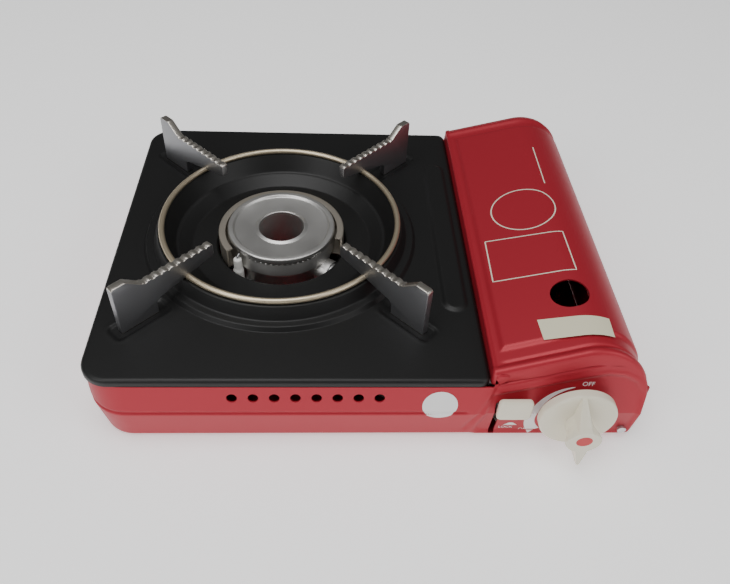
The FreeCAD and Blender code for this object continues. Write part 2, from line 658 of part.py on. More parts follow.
def corner_cutter(sk, x, y, inward_x, inward_y, radius):
    """What a rounded corner leaves off: a square less a quarter of a circle."""
    def step(start, inward, reach):
        return f"({start}) + ({inward}) * ({reach})"

    near = step(x, inward_x, radius), step(y, inward_y, radius)
    beyond = step(x, inward_x, "-1"), step(y, inward_y, "-1")
    places = [(x, near[1]), (beyond[0], near[1]), beyond, (near[0], beyond[1]), (near[0], y)]
    corners = [FreeCAD.Vector(value(px), value(py), 0) for px, py in places]
    lines = [sk.addGeometry(Part.LineSegment(a, b), False) for a, b in zip(corners, corners[1:])]
    for before, after in zip(lines, lines[1:]):
        sk.addConstraint(Sketcher.Constraint("Coincident", before, 2, after, 1))
    for line, (px, py) in zip(lines, places):
        fix_point(sk, line, 1, px, py)
    fix_point(sk, lines[-1], 2, *places[-1])
    size = value(radius)
    centre = FreeCAD.Vector(value(near[0]), value(near[1]), 0)
    ends = sorted(math.atan2(c.y - centre.y, c.x - centre.x) for c in (corners[0], corners[-1]))
    backwards = ends[1] - ends[0] > math.pi
    if backwards:
        ends = [ends[1], ends[0] + 2 * math.pi]
    arc = sk.addGeometry(Part.ArcOfCircle(Part.Circle(centre, FreeCAD.Vector(0, 0, 1), size), *ends), False)
    first = FreeCAD.Vector(math.cos(ends[0]), math.sin(ends[0]), 0) * size + centre
    starts_at_x = (first - corners[0]).Length < 0.001
    sk.addConstraint(Sketcher.Constraint("Coincident", arc, 1 if starts_at_x else 2, lines[0], 1))
    sk.addConstraint(Sketcher.Constraint("Coincident", arc, 2 if starts_at_x else 1, lines[-1], 2))
    bind(sk, Sketcher.Constraint("Radius", arc, size), radius)


def tub_block(label, inset, top_outline):
    """The tub's outer form, or the space inside it, with the front's crease and lean."""
    body = doc.addObject("PartDesign::Body", label)
    front, rear = f"({FRONT} + {inset})", f"({REAR} - {inset})"
    low = f"({FLOOR} + {inset})"
    left = f"(-{HALF_WIDTH} + {inset})"

    def silhouette(sk):
        outline(sk, [(f"{left} + Sizes.side_toe_in", low), *top_outline, (left, "Sizes.crease_height")])

    pad(body, f"{label}_block", "XZ_Plane", silhouette, front, rear)

    def front_relief(sk):
        outside = f"{front} - {OUTSIDE}"
        toe = f"{front} + Sizes.toe_in"
        outline(sk, [
            (front, "Sizes.crease_height"),
            (f"{front_at(SKY)} + {inset}", SKY),
            (outside, SKY),
            (outside, f"{low} - 1"),
            (toe, f"{low} - 1"),
            (toe, low),
        ])

    pocket(body, f"{label}_front", "YZ_Plane", front_relief, f"-{HALF_WIDTH} - 1", f"{HALF_WIDTH} + 3")
    radius = f"(Sizes.tub_corner - {inset})"
    pocket(body, f"{label}_front_corner", "XY_Plane", lambda sk: corner_cutter(sk, left, front, "1", "1", radius), "0", f"{SKY} + 1")
    pocket(body, f"{label}_rear_corner", "XY_Plane", lambda sk: corner_cutter(sk, left, rear, "1", "-1", radius), "0", f"{SKY} + 1")
    return body


def make_body_pan():
    """The red tub with its front and rear panels."""
    gap = "(Sizes.lid_flange + Sizes.seam)"
    slope_start = f"{BAY_EDGE} + (Sizes.rim_height - {lid_height(BAY_EDGE, gap)}) / Sizes.lid_slope"
    meets_rim = f"max({BAY_EDGE} + Sizes.seam / 4; {slope_start})"
    outer = tub_block("tub_form", "0", [
        (HALF_WIDTH, FLOOR),
        (HALF_WIDTH, lid_height(HALF_WIDTH, gap), "Sizes.panel_corner"),
        (meets_rim, "Sizes.rim_height"),
        (f"-{HALF_WIDTH}", "Sizes.rim_height"),
    ])
    through = (f"{FRONT} - {OUTSIDE}", f"{FRONT} + {OUTSIDE}")
    vent = pocket(outer, "vent", "XZ_Plane", lambda sk: circle(sk, "Sizes.vent_first", "Sizes.vent_height", "Sizes.vent_radius"), *through)
    along(outer, "vent_row", vent, "X_Axis", "Sizes.vent_count", "Sizes.vent_pitch")
    pocket(outer, "shaft_hole", "XZ_Plane", lambda sk: circle(sk, KNOB_X, "Sizes.knob_height", "Sizes.shaft_hole"), *through)
    pocket(outer, "lever_slot", "XZ_Plane", lambda sk: rectangle(
        sk, f"{LEVER_X} - Sizes.slot_width / 2", f"{LEVER_X} + Sizes.slot_width / 2", "Sizes.slot_low", "Sizes.slot_high"), *through)
    for name, wall in (("front", FRONT), ("rear", REAR)):
        pocket(outer, f"{name}_hinge_hole", "XZ_Plane", lambda sk: circle(sk, HINGE_X, "Sizes.hinge_height", "Sizes.hinge_pin_radius"),
               f"{wall} - {OUTSIDE}", f"{wall} + {OUTSIDE}")
    for name, back in (("front", "Sizes.foot_front"), ("rear", "Sizes.foot_rear")):
        for side_name, sign in (("left", "-"), ("right", "")):
            pocket(outer, f"{name}_{side_name}_foot_hole", "XY_Plane",
                   lambda sk: circle(sk, f"{sign}{FOOT_X}", f"{FRONT} + {back}", "Sizes.foot_stem"), f"{FLOOR} - 1", f"{FLOOR_TOP} + 1")
    space = tub_block("tub_space", "Sizes.sheet", [
        (f"{HALF_WIDTH} + 2", FLOOR_TOP),
        (f"{HALF_WIDTH} + 2", SKY),
        (f"(-{HALF_WIDTH} + Sizes.sheet)", SKY),
    ])
    side = f"({HALF_WIDTH} - Sizes.tub_side_inset)"
    floor_front = f"({FRONT} + Sizes.toe_in + Sizes.sheet + Sizes.seam)"
    floor_rear = f"({REAR} - Sizes.sheet - Sizes.seam)"
    floor_edge = box("floor_edge", (side, f"{HALF_WIDTH} + 1"), (floor_front, floor_rear), (f"{FLOOR} - 1", f"{FLOOR_TOP} + 1"))
    ear_room = "(Sizes.ear_thickness + Sizes.lid_flange)"
    low_side = box("low_side", (f"{side} - Sizes.sheet", side), (f"{floor_front} + {ear_room}", f"{floor_rear} - {ear_room}"),
                   (FLOOR, "Sizes.tub_side_height"))
    named(fuse("tub_whole", [cut("tub_sheet", outer, [space, floor_edge]), low_side]), "body_pan")


def make_top_plate():
    """The black plate, its collar and bowl, drawn round the burner axis."""
    body = new_body("top_plate")
    place(body, "Sizes.burner_x", "Sizes.burner_y")
    left = f"(-{HALF_WIDTH} - Sizes.burner_x)"
    right = f"({PLATE_RIGHT} - Sizes.burner_x)"
    front = f"({front_at('Sizes.rim_height')} + Sizes.plate_margin - Sizes.burner_y)"
    rear = f"({REAR} - Sizes.plate_margin - Sizes.burner_y)"
    underside = "(Sizes.plate_top - Sizes.sheet)"

    def plate_outline(sk, inset):
        outline(sk, [
            (f"{left} + {inset}", f"{front} + {inset}", f"Sizes.plate_left_corner - {inset}"),
            (f"{right} - {inset}", f"{front} + {inset}", f"Sizes.plate_right_corner - {inset}"),
            (f"{right} - {inset}", f"{rear} - {inset}", f"Sizes.plate_right_corner - {inset}"),
            (f"{left} + {inset}", f"{rear} - {inset}", f"Sizes.plate_left_corner - {inset}"),
        ])

    pad(body, "plate", "XY_Plane", lambda sk: plate_outline(sk, "0"), "Sizes.rim_height", "Sizes.plate_top")
    pocket(body, "underside", "XY_Plane", lambda sk: plate_outline(sk, "Sizes.sheet"), "Sizes.rim_height - 1", underside)
    pocket(body, "collar_hole", "XY_Plane", lambda sk: circle(sk, "0", "0", "Sizes.collar_foot"), f"{underside} - 1", "Sizes.plate_top + 1")

    def collar(sk):
        sheet_up = "Sizes.sheet"
        outline(sk, [
            (BOWL_HOLE, "Sizes.bowl_floor"),
            ("Sizes.bowl_floor_radius", "Sizes.bowl_floor"),
            ("Sizes.bowl_ledge", "Sizes.plate_top"),
            ("Sizes.collar_inner", "Sizes.collar_top"),
            ("Sizes.collar_outer", "Sizes.collar_top"),
            ("Sizes.ledge_inner", "Sizes.collar_step"),
            ("Sizes.ledge_outer", "Sizes.collar_step"),
            ("Sizes.collar_foot", "Sizes.plate_top"),
            ("Sizes.collar_foot", underside),
            (f"Sizes.ledge_outer - {sheet_up} / 2", f"Sizes.collar_step - {sheet_up}"),
            (f"Sizes.ledge_inner - {sheet_up}", f"Sizes.collar_step - {sheet_up}"),
            (f"Sizes.collar_outer - {sheet_up}", f"Sizes.collar_top - {sheet_up}"),
            (f"Sizes.collar_inner + {sheet_up} / 2", f"Sizes.collar_top - {sheet_up}"),
            (f"Sizes.bowl_ledge + {sheet_up} / 2", f"Sizes.plate_top - {sheet_up}"),
            (f"Sizes.bowl_floor_radius + {sheet_up} / 2", f"Sizes.bowl_floor - {sheet_up}"),
            (BOWL_HOLE, f"Sizes.bowl_floor - {sheet_up}"),
        ])

    turned("Revolution", body, "collar", collar, "Z_Axis")
    diagonal = "sqrt(0.5)"

    def channel(grow, end):
        """A slot along the diagonal, as its four corners turned by 45 degrees."""
        half = f"(Sizes.channel_width / 2 + {grow})"
        inner = f"(Sizes.channel_start - {grow})"
        outer = f"(Sizes.channel_end + {grow})"

        def corner(reach, side, radius=None):
            point = (f"({reach} - ({side})) * {diagonal}", f"({reach} + ({side})) * {diagonal}")
            return point + (radius,) if radius else point

        return lambda sk: outline(sk, [
            corner(inner, f"-{half}", end),
            corner(outer, f"-{half}", end),
            corner(outer, half, end),
            corner(inner, half, end),
        ])

    tray = pad(body, "channel_tray", "XY_Plane", channel("Sizes.sheet", "Sizes.channel_width / 4"),
               f"{underside} - Sizes.channel_depth", underside)
    around(body, "channel_trays", [tray], "4")
    floor_cut = pocket(body, "channel", "XY_Plane", channel("0", "Sizes.channel_width / 5"),
                       "Sizes.plate_top - Sizes.channel_depth", "Sizes.plate_top + 1")
    around(body, "channels", [floor_cut], "4")

    def bead(grow, radius):
        return lambda sk: rectangle(
            sk, f"{BEAD_LEFT} - Sizes.burner_x - {grow}", f"{BEAD_RIGHT} - Sizes.burner_x + {grow}",
            f"Sizes.bead_front - Sizes.burner_y - {grow}", f"Sizes.bead_rear - Sizes.burner_y + {grow}", radius)

    round_end = "Sizes.bead_width / 2 - 0.1"
    pad(body, "bead", "XY_Plane", bead("0", round_end), "Sizes.plate_top - Sizes.sheet / 2", "Sizes.plate_top + Sizes.bead_height")
    pocket(body, "bead_hollow", "XY_Plane", bead("-Sizes.sheet", f"{round_end} - Sizes.sheet"),
           f"{underside} - 1", f"{underside} + Sizes.bead_height")


def lid_block(label, inset, low):
    """The lid's outer form, or the space inside it."""
    body = doc.addObject("PartDesign::Body", label)
    left, right = f"({BAY_EDGE} + {inset})", f"({HALF_WIDTH} - {inset})"
    lid_front = f"({front_at('Sizes.lid_step_height')} + {inset})"

    def profile(sk):
        outline(sk, [
            (left, low[0]),
            (right, low[1]),
            (right, lid_height(right, inset), f"Sizes.lid_corner - {inset}"),
            (left, lid_height(left, inset), f"Sizes.lid_edge_radius - {inset} / 2"),
        ])

    pad(body, f"{label}_block", "XZ_Plane", profile, f"{FRONT} - 1", f"{LID_REAR} - {inset}")

    def front_relief(sk):
        outline(sk, [
            (lid_front, "-1"),
            (lid_front, "Sizes.lid_step_height"),
            (f"{front_at(SKY)} + {inset}", SKY),
            (f"{FRONT} - {OUTSIDE}", SKY),
            (f"{FRONT} - {OUTSIDE}", "-1"),
        ])

    pocket(body, f"{label}_front", "YZ_Plane", front_relief, f"{BAY_EDGE} - 1", f"{HALF_WIDTH} + 1")
    return body


def panel_room():
    """Where the front panel stands, so that the lid's side keeps clear of it."""
    slab = doc.addObject("PartDesign::Body", "panel_slab")
    room = "Sizes.sheet + Sizes.seam"
    pad(slab, "slab", "YZ_Plane", lambda sk: outline(sk, [
        (f"{FRONT} - {OUTSIDE}", "-1"),
        (f"{FRONT} + {room}", "-1"),
        (f"{FRONT} + {room}", "Sizes.crease_height"),
        (f"{front_at(SKY)} + {room}", SKY),
        (f"{FRONT} - {OUTSIDE}", SKY),
    ]), BAY_EDGE, f"{HALF_WIDTH} + 2")
    face = doc.addObject("PartDesign::Body", "panel_face")
    pad(face, "face", "XZ_Plane", lambda sk: end_panel_outline(
        sk, f"({BAY_EDGE} + Sizes.sheet)", f"({HALF_WIDTH} + Sizes.seam)", "-1", "Sizes.panel_corner + Sizes.seam"),
        f"{FRONT} - {OUTSIDE}", f"{FRONT} + 20")
    common = doc.addObject("Part::MultiCommon", "panel_room")
    common.Shapes = [slab, face]
    doc.recompute()
    return common


def make_lid():
    """The hinged lid over the canister bay."""
    outer = lid_block("lid_form", "0", ("Sizes.lid_foot", "Sizes.lid_skirt"))
    space = lid_block("lid_space", "Sizes.sheet", ("0", "0"))
    lid_front = front_at("Sizes.lid_step_height")
    inner_left = f"({BAY_EDGE} + Sizes.sheet)"
    inner_right = f"({HALF_WIDTH} - Sizes.sheet)"
    openings = doc.addObject("PartDesign::Body", "lid_openings")
    pad(openings, "end_opening", "XZ_Plane", lambda sk: end_panel_outline(sk, inner_left, inner_right, "0"), f"{FRONT} - {OUTSIDE}", f"{REAR} + 1")
    window = rod("lid_window", "Z", WINDOW_X, f"{FRONT} + Sizes.window_back", "Sizes.lid_foot", "Sizes.window_radius", SKY)
    sheet_form = cut("lid_sheet", outer, [space, openings, window, panel_room()])

    def ear(sk):
        low = "(Sizes.hinge_height - Sizes.ear_radius)"
        outline(sk, [
            (f"{HINGE_X} - Sizes.ear_radius", low, "Sizes.ear_radius - 0.2"),
            (f"{HINGE_X} + Sizes.ear_radius", low, "Sizes.ear_radius - 0.2"),
            (f"{HINGE_X} + Sizes.ear_radius", "Sizes.hinge_height + 0.5"),
            (f"{HALF_WIDTH} - Sizes.sheet / 2", "Sizes.lid_skirt + Sizes.sheet"),
            (f"{HALF_WIDTH} - Sizes.sheet / 2", "Sizes.tub_side_height"),
            (f"{HINGE_X} - Sizes.ear_radius", "Sizes.tub_side_height"),
        ])

    ears = []
    for name, low, high in (
        ("front", lid_front, f"{lid_front} + Sizes.ear_thickness"),
        ("rear", f"{LID_REAR} - Sizes.ear_thickness", LID_REAR),
    ):
        body = doc.addObject("PartDesign::Body", f"{name}_ear_form")
        pad(body, f"{name}_ear", "XZ_Plane", ear, low, high)
        pocket(body, f"{name}_ear_hole", "XZ_Plane",
               lambda sk: circle(sk, HINGE_X, "Sizes.hinge_height", "Sizes.hinge_pin_radius + Sizes.running_gap"), f"{low} - 1", f"{high} + 1")
        ears.append(body)
    named(fuse("lid_whole", [sheet_form, *ears]), "canister_lid")


def make_hinge_pins():
    """The two rivets that the lid turns on."""
    inner_end = f"({front_at('Sizes.lid_step_height')} + Sizes.ear_thickness + Sizes.sheet)"
    run_in = f"Sizes.toe_in / (Sizes.crease_height - {FLOOR})"
    head_top = "(Sizes.hinge_height + Sizes.hinge_head_radius)"
    head_front = f"({FRONT} + {run_in} * (Sizes.crease_height - {head_top}) - Sizes.hinge_head)"
    radius, head = "Sizes.hinge_pin_radius", "Sizes.hinge_head_radius"
    rivets = []
    rear_head = f"({LID_REAR} - Sizes.ear_thickness - Sizes.free_gap - Sizes.hinge_head)"
    for name, start, length, head_start in (
        ("front", head_front, f"{inner_end} - ({head_front})", head_front),
        ("rear", rear_head, f"{REAR} - {rear_head}", rear_head),
    ):
        shank = rod(f"{name}_hinge_shank", "Y", HINGE_X, start, "Sizes.hinge_height", radius, length)
        cap = rod(f"{name}_hinge_head", "Y", HINGE_X, head_start, "Sizes.hinge_height", head, "Sizes.hinge_head")
        rivets.append(fuse(f"{name}_hinge_rivet", [shank, cap]))
    group("lid_hinge_pins", rivets)


def make_divider():
    """The heat shield between the burner and the canister bay, with the flange that the lid rests on."""
    wall_y = (f"{front_at('Sizes.rim_height')} + 2 * Sizes.sheet", f"{REAR} - Sizes.sheet - Sizes.seam")
    wall = box("divider_sheet", (DIVIDER_LEFT, f"{DIVIDER_LEFT} + Sizes.sheet"), wall_y, (FLOOR_TOP, DIVIDER_TOP))
    flange_y = (f"{front_at('Sizes.lid_step_height')} + Sizes.sheet + Sizes.seam", f"{LID_REAR} - Sizes.sheet - Sizes.seam")
    flange = box("divider_top", (DIVIDER_LEFT, f"{DIVIDER_LEFT} + Sizes.sheet + Sizes.divider_flange"), flange_y,
                 (f"{DIVIDER_TOP} - Sizes.sheet", DIVIDER_TOP))
    pipe_y = f"Sizes.burner_y + ({DIVIDER_LEFT} - Sizes.burner_x) * {TUBE_SLOPE}"
    lead_y = f"{FRONT} + Sizes.lead_back"
    holes = [
        rod("divider_pipe_hole", "X", f"{DIVIDER_LEFT} - 2", pipe_y, "Sizes.tube_height", "3 * Sizes.pipe_radius", "6"),
        rod("divider_lead_hole", "X", f"{DIVIDER_LEFT} - 2", lead_y, "Sizes.lead_height", "2 * Sizes.lead_radius", "6"),
    ]
    named(cut("divider_cut", fuse("divider_blank", [wall, flange]), holes), "divider_wall")


def make_canister_cradle():
    """Two saddles and the strip that joins them."""
    body = new_body("canister_cradle")
    place(body, KNOB_X)

    def saddle(sk):
        half = "Sizes.saddle_half_width"
        outline(sk, [
            (f"-{half}", FLOOR_TOP),
            (half, FLOOR_TOP),
            (half, f"{FLOOR_TOP} + Sizes.saddle_height"),
            (f"-{half}", f"{FLOOR_TOP} + Sizes.saddle_height"),
        ])

    for name, back in (("front", "Sizes.saddle_front"), ("rear", "Sizes.saddle_rear")):
        low = f"{FRONT} + {back}"
        pad(body, f"{name}_saddle", "XZ_Plane", saddle, low, f"{low} + Sizes.saddle_length")
        if name == "front":
            pad(body, "strip", "XY_Plane", lambda sk: rectangle(
                sk, "-Sizes.saddle_length", "Sizes.saddle_length", f"{FRONT} + Sizes.saddle_front", f"{FRONT} + Sizes.saddle_rear + 1"),
                FLOOR_TOP, BRACKET_TOP)
    rail = f"({RAIL_LEFT} - {KNOB_X})"
    pad(body, "rail", "XY_Plane", lambda sk: rectangle(
        sk, rail, f"{rail} + Sizes.rail_width", f"{FRONT} + Sizes.rail_front", f"{FRONT} + Sizes.saddle_rear + 1"), FLOOR_TOP, "Sizes.rail_top")
    pocket(body, "hollow", "XZ_Plane", lambda sk: circle(sk, "0", "Sizes.canister_axis", "Sizes.canister_radius + Sizes.canister_clear"),
           f"{FRONT} + Sizes.rail_front - 1", f"{FRONT} + Sizes.saddle_rear + Sizes.saddle_length + 1")


def make_support_ring():
    """The wire ring of the pan support."""
    ring = doc.addObject("Part::Torus", "ring_wire_torus")
    ring.setExpression("Radius1", "Sizes.ring_radius")
    ring.setExpression("Radius2", "Sizes.ring_wire")
    place(ring, "Sizes.burner_x", "Sizes.burner_y", "Sizes.ring_height")
    named(ring, "support_ring")


def make_leg(label, degrees):
    """One leg: a toothed arm over the ring, a foot and an upright horn."""
    body = new_body(label)
    place(body, "Sizes.burner_x", "Sizes.burner_y", "0", (((0, 0, 1), degrees),))
    foot = "(Sizes.plate_top - Sizes.channel_depth)"

    def side(sk):
        outline(sk, [
            ("Sizes.leg_inner", "Sizes.leg_under_inner"),
            ("Sizes.leg_foot_inner", "Sizes.leg_under_outer", "Sizes.leg_foot_round"),
            ("Sizes.leg_foot_inner", foot),
            ("Sizes.leg_outer", foot),
            ("Sizes.leg_outer", "Sizes.leg_tip", "Sizes.leg_round"),
            ("Sizes.leg_horn", "Sizes.leg_tip", "Sizes.leg_round"),
            ("Sizes.leg_toothed_end", "Sizes.leg_top", "Sizes.leg_horn_round"),
            ("Sizes.leg_inner", "Sizes.leg_top", "Sizes.leg_round"),
        ])

    half = "Sizes.leg_thickness / 2"
    pad(body, f"{label}_side", "XZ_Plane", side, f"-{half}", half)
    pocket(body, f"{label}_ring_notch", "XZ_Plane",
           lambda sk: circle(sk, "Sizes.ring_radius", "Sizes.ring_height", "Sizes.ring_wire + Sizes.running_gap"), f"-{half} - 1", f"{half} + 1")
    tooth = pocket(body, f"{label}_tooth", "XZ_Plane",
                   lambda sk: circle(sk, "Sizes.leg_inner + Sizes.tooth_pitch", "Sizes.leg_top + Sizes.tooth_radius / 2", "Sizes.tooth_radius"),
                   f"-{half} - 1", f"{half} + 1")
    along(body, f"{label}_teeth", tooth, "X_Axis", "Sizes.tooth_count", "Sizes.tooth_pitch")


def make_burner():
    """The burner's two castings."""
    body = new_body("burner_body")
    place(body, "Sizes.burner_x", "Sizes.burner_y")
    wall = "Sizes.burner_wall"

    def casting(sk):
        outline(sk, [
            ("Sizes.burner_eye", "Sizes.burner_base"),
            ("Sizes.burner_waist", "Sizes.burner_base"),
            (f"Sizes.burner_waist + {wall}", "Sizes.skirt_foot - 2"),
            ("Sizes.skirt_radius", "Sizes.skirt_foot"),
            ("Sizes.skirt_top", "Sizes.port_band"),
            (f"Sizes.skirt_top - {wall}", "Sizes.port_band"),
            (f"Sizes.burner_waist - {wall}", "Sizes.skirt_foot"),
            (f"Sizes.burner_waist - {wall}", f"Sizes.burner_base + {wall}"),
            (f"Sizes.burner_eye + {wall}", f"Sizes.burner_base + {wall}"),
            (f"Sizes.burner_eye + {wall}", "Sizes.cap_under"),
            ("Sizes.burner_eye", "Sizes.cap_under"),
        ])

    turned("Revolution", body, "casting", casting, "Z_Axis")
    direction = value(TUBE_ANGLE)
    socket = along_tube("socket_boss", "Sizes.tube_radius + Sizes.socket_wall", "Sizes.burner_waist - 3", "Sizes.socket_end", direction)
    bore = along_tube("socket_bore", "Sizes.tube_radius + Sizes.running_gap", "Sizes.burner_eye + 4", "Sizes.socket_end + 1", direction)
    sub_parts.remove(body)
    body.Label = "burner_casting"
    named(cut("burner_cut", fuse("burner_blank", [body, socket]), [bore]), "burner_body")

    cap = new_body("burner_cap")
    place(cap, "Sizes.burner_x", "Sizes.burner_y")
    band = "(Sizes.cap_radius - Sizes.port_inset)"

    def cap_section(sk):
        outline(sk, [
            ("Sizes.burner_eye", "Sizes.cap_under"),
            (f"{band} - 2 * {wall}", "Sizes.cap_under"),
            (f"{band} - {wall}", "Sizes.port_band"),
            (band, "Sizes.port_band"),
            (band, "Sizes.cap_under"),
            ("Sizes.cap_radius", "Sizes.cap_under"),
            ("Sizes.cap_radius", "Sizes.cap_top - 1"),
            ("Sizes.cap_radius - 1", "Sizes.cap_top"),
            ("Sizes.cap_radius - Sizes.cap_rim", "Sizes.cap_top"),
            ("Sizes.cap_radius - Sizes.cap_rim - 1", "Sizes.cap_top - Sizes.cap_dish"),
            ("Sizes.burner_eye", "Sizes.cap_top - Sizes.cap_dish"),
        ])

    turned("Revolution", cap, "cap_section", cap_section, "Z_Axis")
    port = pocket(cap, "port", "XY_Plane",
                  lambda sk: rectangle(sk, f"{band} - 2 * {wall}", f"{band} + 0.5", "-Sizes.port_width / 2", "Sizes.port_width / 2"),
                  "Sizes.port_band - 0.5", "Sizes.cap_under")
    around(cap, "ports", [port], "Sizes.port_count")


def along_tube(name, radius, start, end, degrees):
    """A cylinder that lies along the mixing tube's direction."""
    solid = doc.addObject("Part::Cylinder", name)
    solid.setExpression("Radius", radius)
    solid.setExpression("Height", f"({end}) - ({start})")
    x = f"Sizes.burner_x + ({start}) * cos({TUBE_ANGLE})"
    y = f"Sizes.burner_y + ({start}) * sin({TUBE_ANGLE})"
    place(solid, x, y, "Sizes.tube_height", (((0, 0, 1), degrees), ((0, 1, 0), 90)))
    return solid


def make_gas_way():
    """Mixing tube, jet and gas pipe, on one line from the burner."""
    turn = (((0, 0, 1), value(TUBE_ANGLE)),)
    tube = new_body("mixing_tube")
    place(tube, "Sizes.burner_x", "Sizes.burner_y", "Sizes.tube_height", turn)
    inner = "(Sizes.tube_radius - Sizes.tube_wall)"

    def tube_section(sk):
        flare = "Sizes.tube_end - Sizes.tube_bell"
        outline(sk, [
            ("Sizes.tube_start", inner),
            (flare, inner),
            ("Sizes.tube_end", "Sizes.tube_bell - Sizes.tube_wall"),
            ("Sizes.tube_end", "Sizes.tube_bell"),
            (flare, "Sizes.tube_radius"),
            ("Sizes.tube_start", "Sizes.tube_radius"),
        ])

    turned("Revolution", tube, "tube_section", tube_section, "X_Axis")
    jet = new_body("gas_jet")
    place(jet, "Sizes.burner_x", "Sizes.burner_y", "Sizes.tube_height", turn)

    def jet_section(sk):
        outline(sk, [
            ("Sizes.jet_start", "Sizes.pipe_bore / 2"),
            ("Sizes.jet_end", "Sizes.pipe_bore / 2"),
            ("Sizes.jet_end", "Sizes.jet_radius"),
            ("Sizes.jet_start + 6", "Sizes.jet_radius"),
            ("Sizes.jet_start", "Sizes.pipe_radius"),
        ])

    turned("Revolution", jet, "jet_section", jet_section, "X_Axis")
    height = value("Sizes.tube_height")
    jet_x, jet_y = polar("Sizes.jet_end", TUBE_ANGLE)
    entry_y = value(PIPE_ENTRY_Y)
    points = [
        FreeCAD.Vector(jet_x, jet_y, height),
        FreeCAD.Vector(value(PIPE_CORNER_X), entry_y, height),
        FreeCAD.Vector(value(REGULATOR_LEFT), entry_y, height),
    ]
    tube_along("gas_pipe", points, [value("Sizes.pipe_bend")], value("Sizes.pipe_radius"), value("Sizes.pipe_bore"))


def make_burner_bracket():
    """A bridge on the tub's floor that carries the burner and the electrode."""
    half, width, low = "Sizes.bracket_half_length", "Sizes.bracket_width / 2", "Sizes.burner_base - Sizes.bracket_sheet"
    bx, by = "Sizes.burner_x", "Sizes.burner_y"
    plates = [
        box("bridge", (f"{bx} - {half}", f"{bx} + {half}"), (f"{by} - {width}", f"{by} + {width}"), (low, "Sizes.burner_base")),
        rod("bridge_ring", "Z", bx, by, low, "Sizes.bracket_ring", "Sizes.bracket_sheet"),
    ]
    for name, start, end, foot in (
        ("left", f"{bx} - {half}", f"{bx} - {half} + Sizes.bracket_sheet", f"{bx} - {half} - Sizes.bracket_foot"),
        ("right", f"{bx} + {half} - Sizes.bracket_sheet", f"{bx} + {half}", f"{bx} + {half} + Sizes.bracket_foot"),
    ):
        y = (f"{by} - {width}", f"{by} + {width}")
        plates.append(box(f"{name}_bridge_leg", (start, end), y, (FLOOR_TOP, "Sizes.burner_base")))
        span = (foot, end) if name == "left" else (start, foot)
        plates.append(box(f"{name}_bridge_foot", span, y, (FLOOR_TOP, BRACKET_TOP)))
    tongue = doc.addObject("Part::Box", "electrode_tongue")
    tongue.setExpression("Length", "Sizes.electrode_reach + Sizes.ceramic_collar + 1")
    tongue.setExpression("Width", "2 * Sizes.ceramic_collar")
    tongue.setExpression("Height", "Sizes.bracket_sheet")
    angle = "(Sizes.electrode_angle * 1 deg)"
    place(tongue, f"{bx} + Sizes.ceramic_collar * sin{angle}", f"{by} - Sizes.ceramic_collar * cos{angle}", low,
          (((0, 0, 1), value("Sizes.electrode_angle")),))
    plates.append(tongue)
    ex, ey = (f"{bx} + Sizes.electrode_reach * cos{angle}", f"{by} + Sizes.electrode_reach * sin{angle}")
    holes = [
        rod("bridge_eye", "Z", bx, by, f"{low} - 1", "Sizes.burner_eye + 2", "4"),
        rod("tongue_hole", "Z", ex, ey, f"{low} - 1", "2 * Sizes.rod_radius", "4"),
    ]
    for sign in ("-", "+"):
        holes.append(rod("bridge_screw_hole", "Z", f"{bx} {sign} Sizes.bracket_screw", by, f"{low} - 1", "Sizes.screw_radius", "4"))
    named(cut("bracket_cut", fuse("bracket_blank", plates), holes), "burner_bracket")


def make_flame_guard():
    """The C-shaped strip round the burner, with the lip by which the burner carries it."""
    body = new_body("flame_guard")
    place(body, "Sizes.burner_x", "Sizes.burner_y", "0", (((0, 0, 1), value("Sizes.guard_start")),))
    thick = "Sizes.guard_thickness"
    lip = "(Sizes.burner_waist + Sizes.burner_wall + Sizes.running_gap)"

    def section(sk):
        outline(sk, [
            (lip, "Sizes.guard_foot"),
            ("Sizes.guard_radius", "Sizes.guard_foot"),
            ("Sizes.guard_radius", "Sizes.guard_top"),
            ("Sizes.cap_radius + Sizes.guard_gap", "Sizes.guard_top"),
            ("Sizes.cap_radius + Sizes.guard_gap", f"Sizes.guard_top - {thick}"),
            (f"Sizes.guard_radius - {thick}", f"Sizes.guard_top - {thick}"),
            (f"Sizes.guard_radius - {thick}", f"Sizes.guard_foot + {thick}"),
            (lip, f"Sizes.guard_foot + {thick}"),
        ])

    turned("Revolution", body, "guard_strip", section, "Z_Axis", angle="Sizes.guard_sweep")


def make_electrode():
    """The ceramic post and the needle inside it."""
    x, y = polar("Sizes.electrode_reach", "Sizes.electrode_angle")
    body = new_body("electrode_ceramic")
    angle = "(Sizes.electrode_angle * 1 deg)"
    place(body, f"Sizes.burner_x + Sizes.electrode_reach * cos{angle}", f"Sizes.burner_y + Sizes.electrode_reach * sin{angle}")

    def section(sk):
        outline(sk, [
            ("Sizes.rod_radius", "Sizes.burner_base"),
            ("Sizes.ceramic_collar", "Sizes.burner_base"),
            ("Sizes.ceramic_collar", "Sizes.guard_foot + 1"),
            ("Sizes.ceramic_radius", "Sizes.guard_foot + 4"),
            ("Sizes.ceramic_radius", "Sizes.ceramic_top - 1"),
            ("Sizes.ceramic_radius - 1", "Sizes.ceramic_top"),
            ("Sizes.rod_radius", "Sizes.ceramic_top"),
        ])

    turned("Revolution", body, "ceramic_section", section, "Z_Axis")
    tip_x, tip_y = polar("Sizes.electrode_reach - Sizes.rod_tip_inset", "Sizes.electrode_angle")
    points = [
        FreeCAD.Vector(x, y, value("Sizes.burner_base - Sizes.lead_rise")),
        FreeCAD.Vector(x, y, value("Sizes.ceramic_top + Sizes.rod_bend_rise")),
        FreeCAD.Vector(tip_x, tip_y, value("Sizes.ceramic_top + Sizes.rod_tip_rise")),
    ]
    tube_along("electrode_rod", points, [value("2 * Sizes.rod_radius")], value("Sizes.rod_radius"))


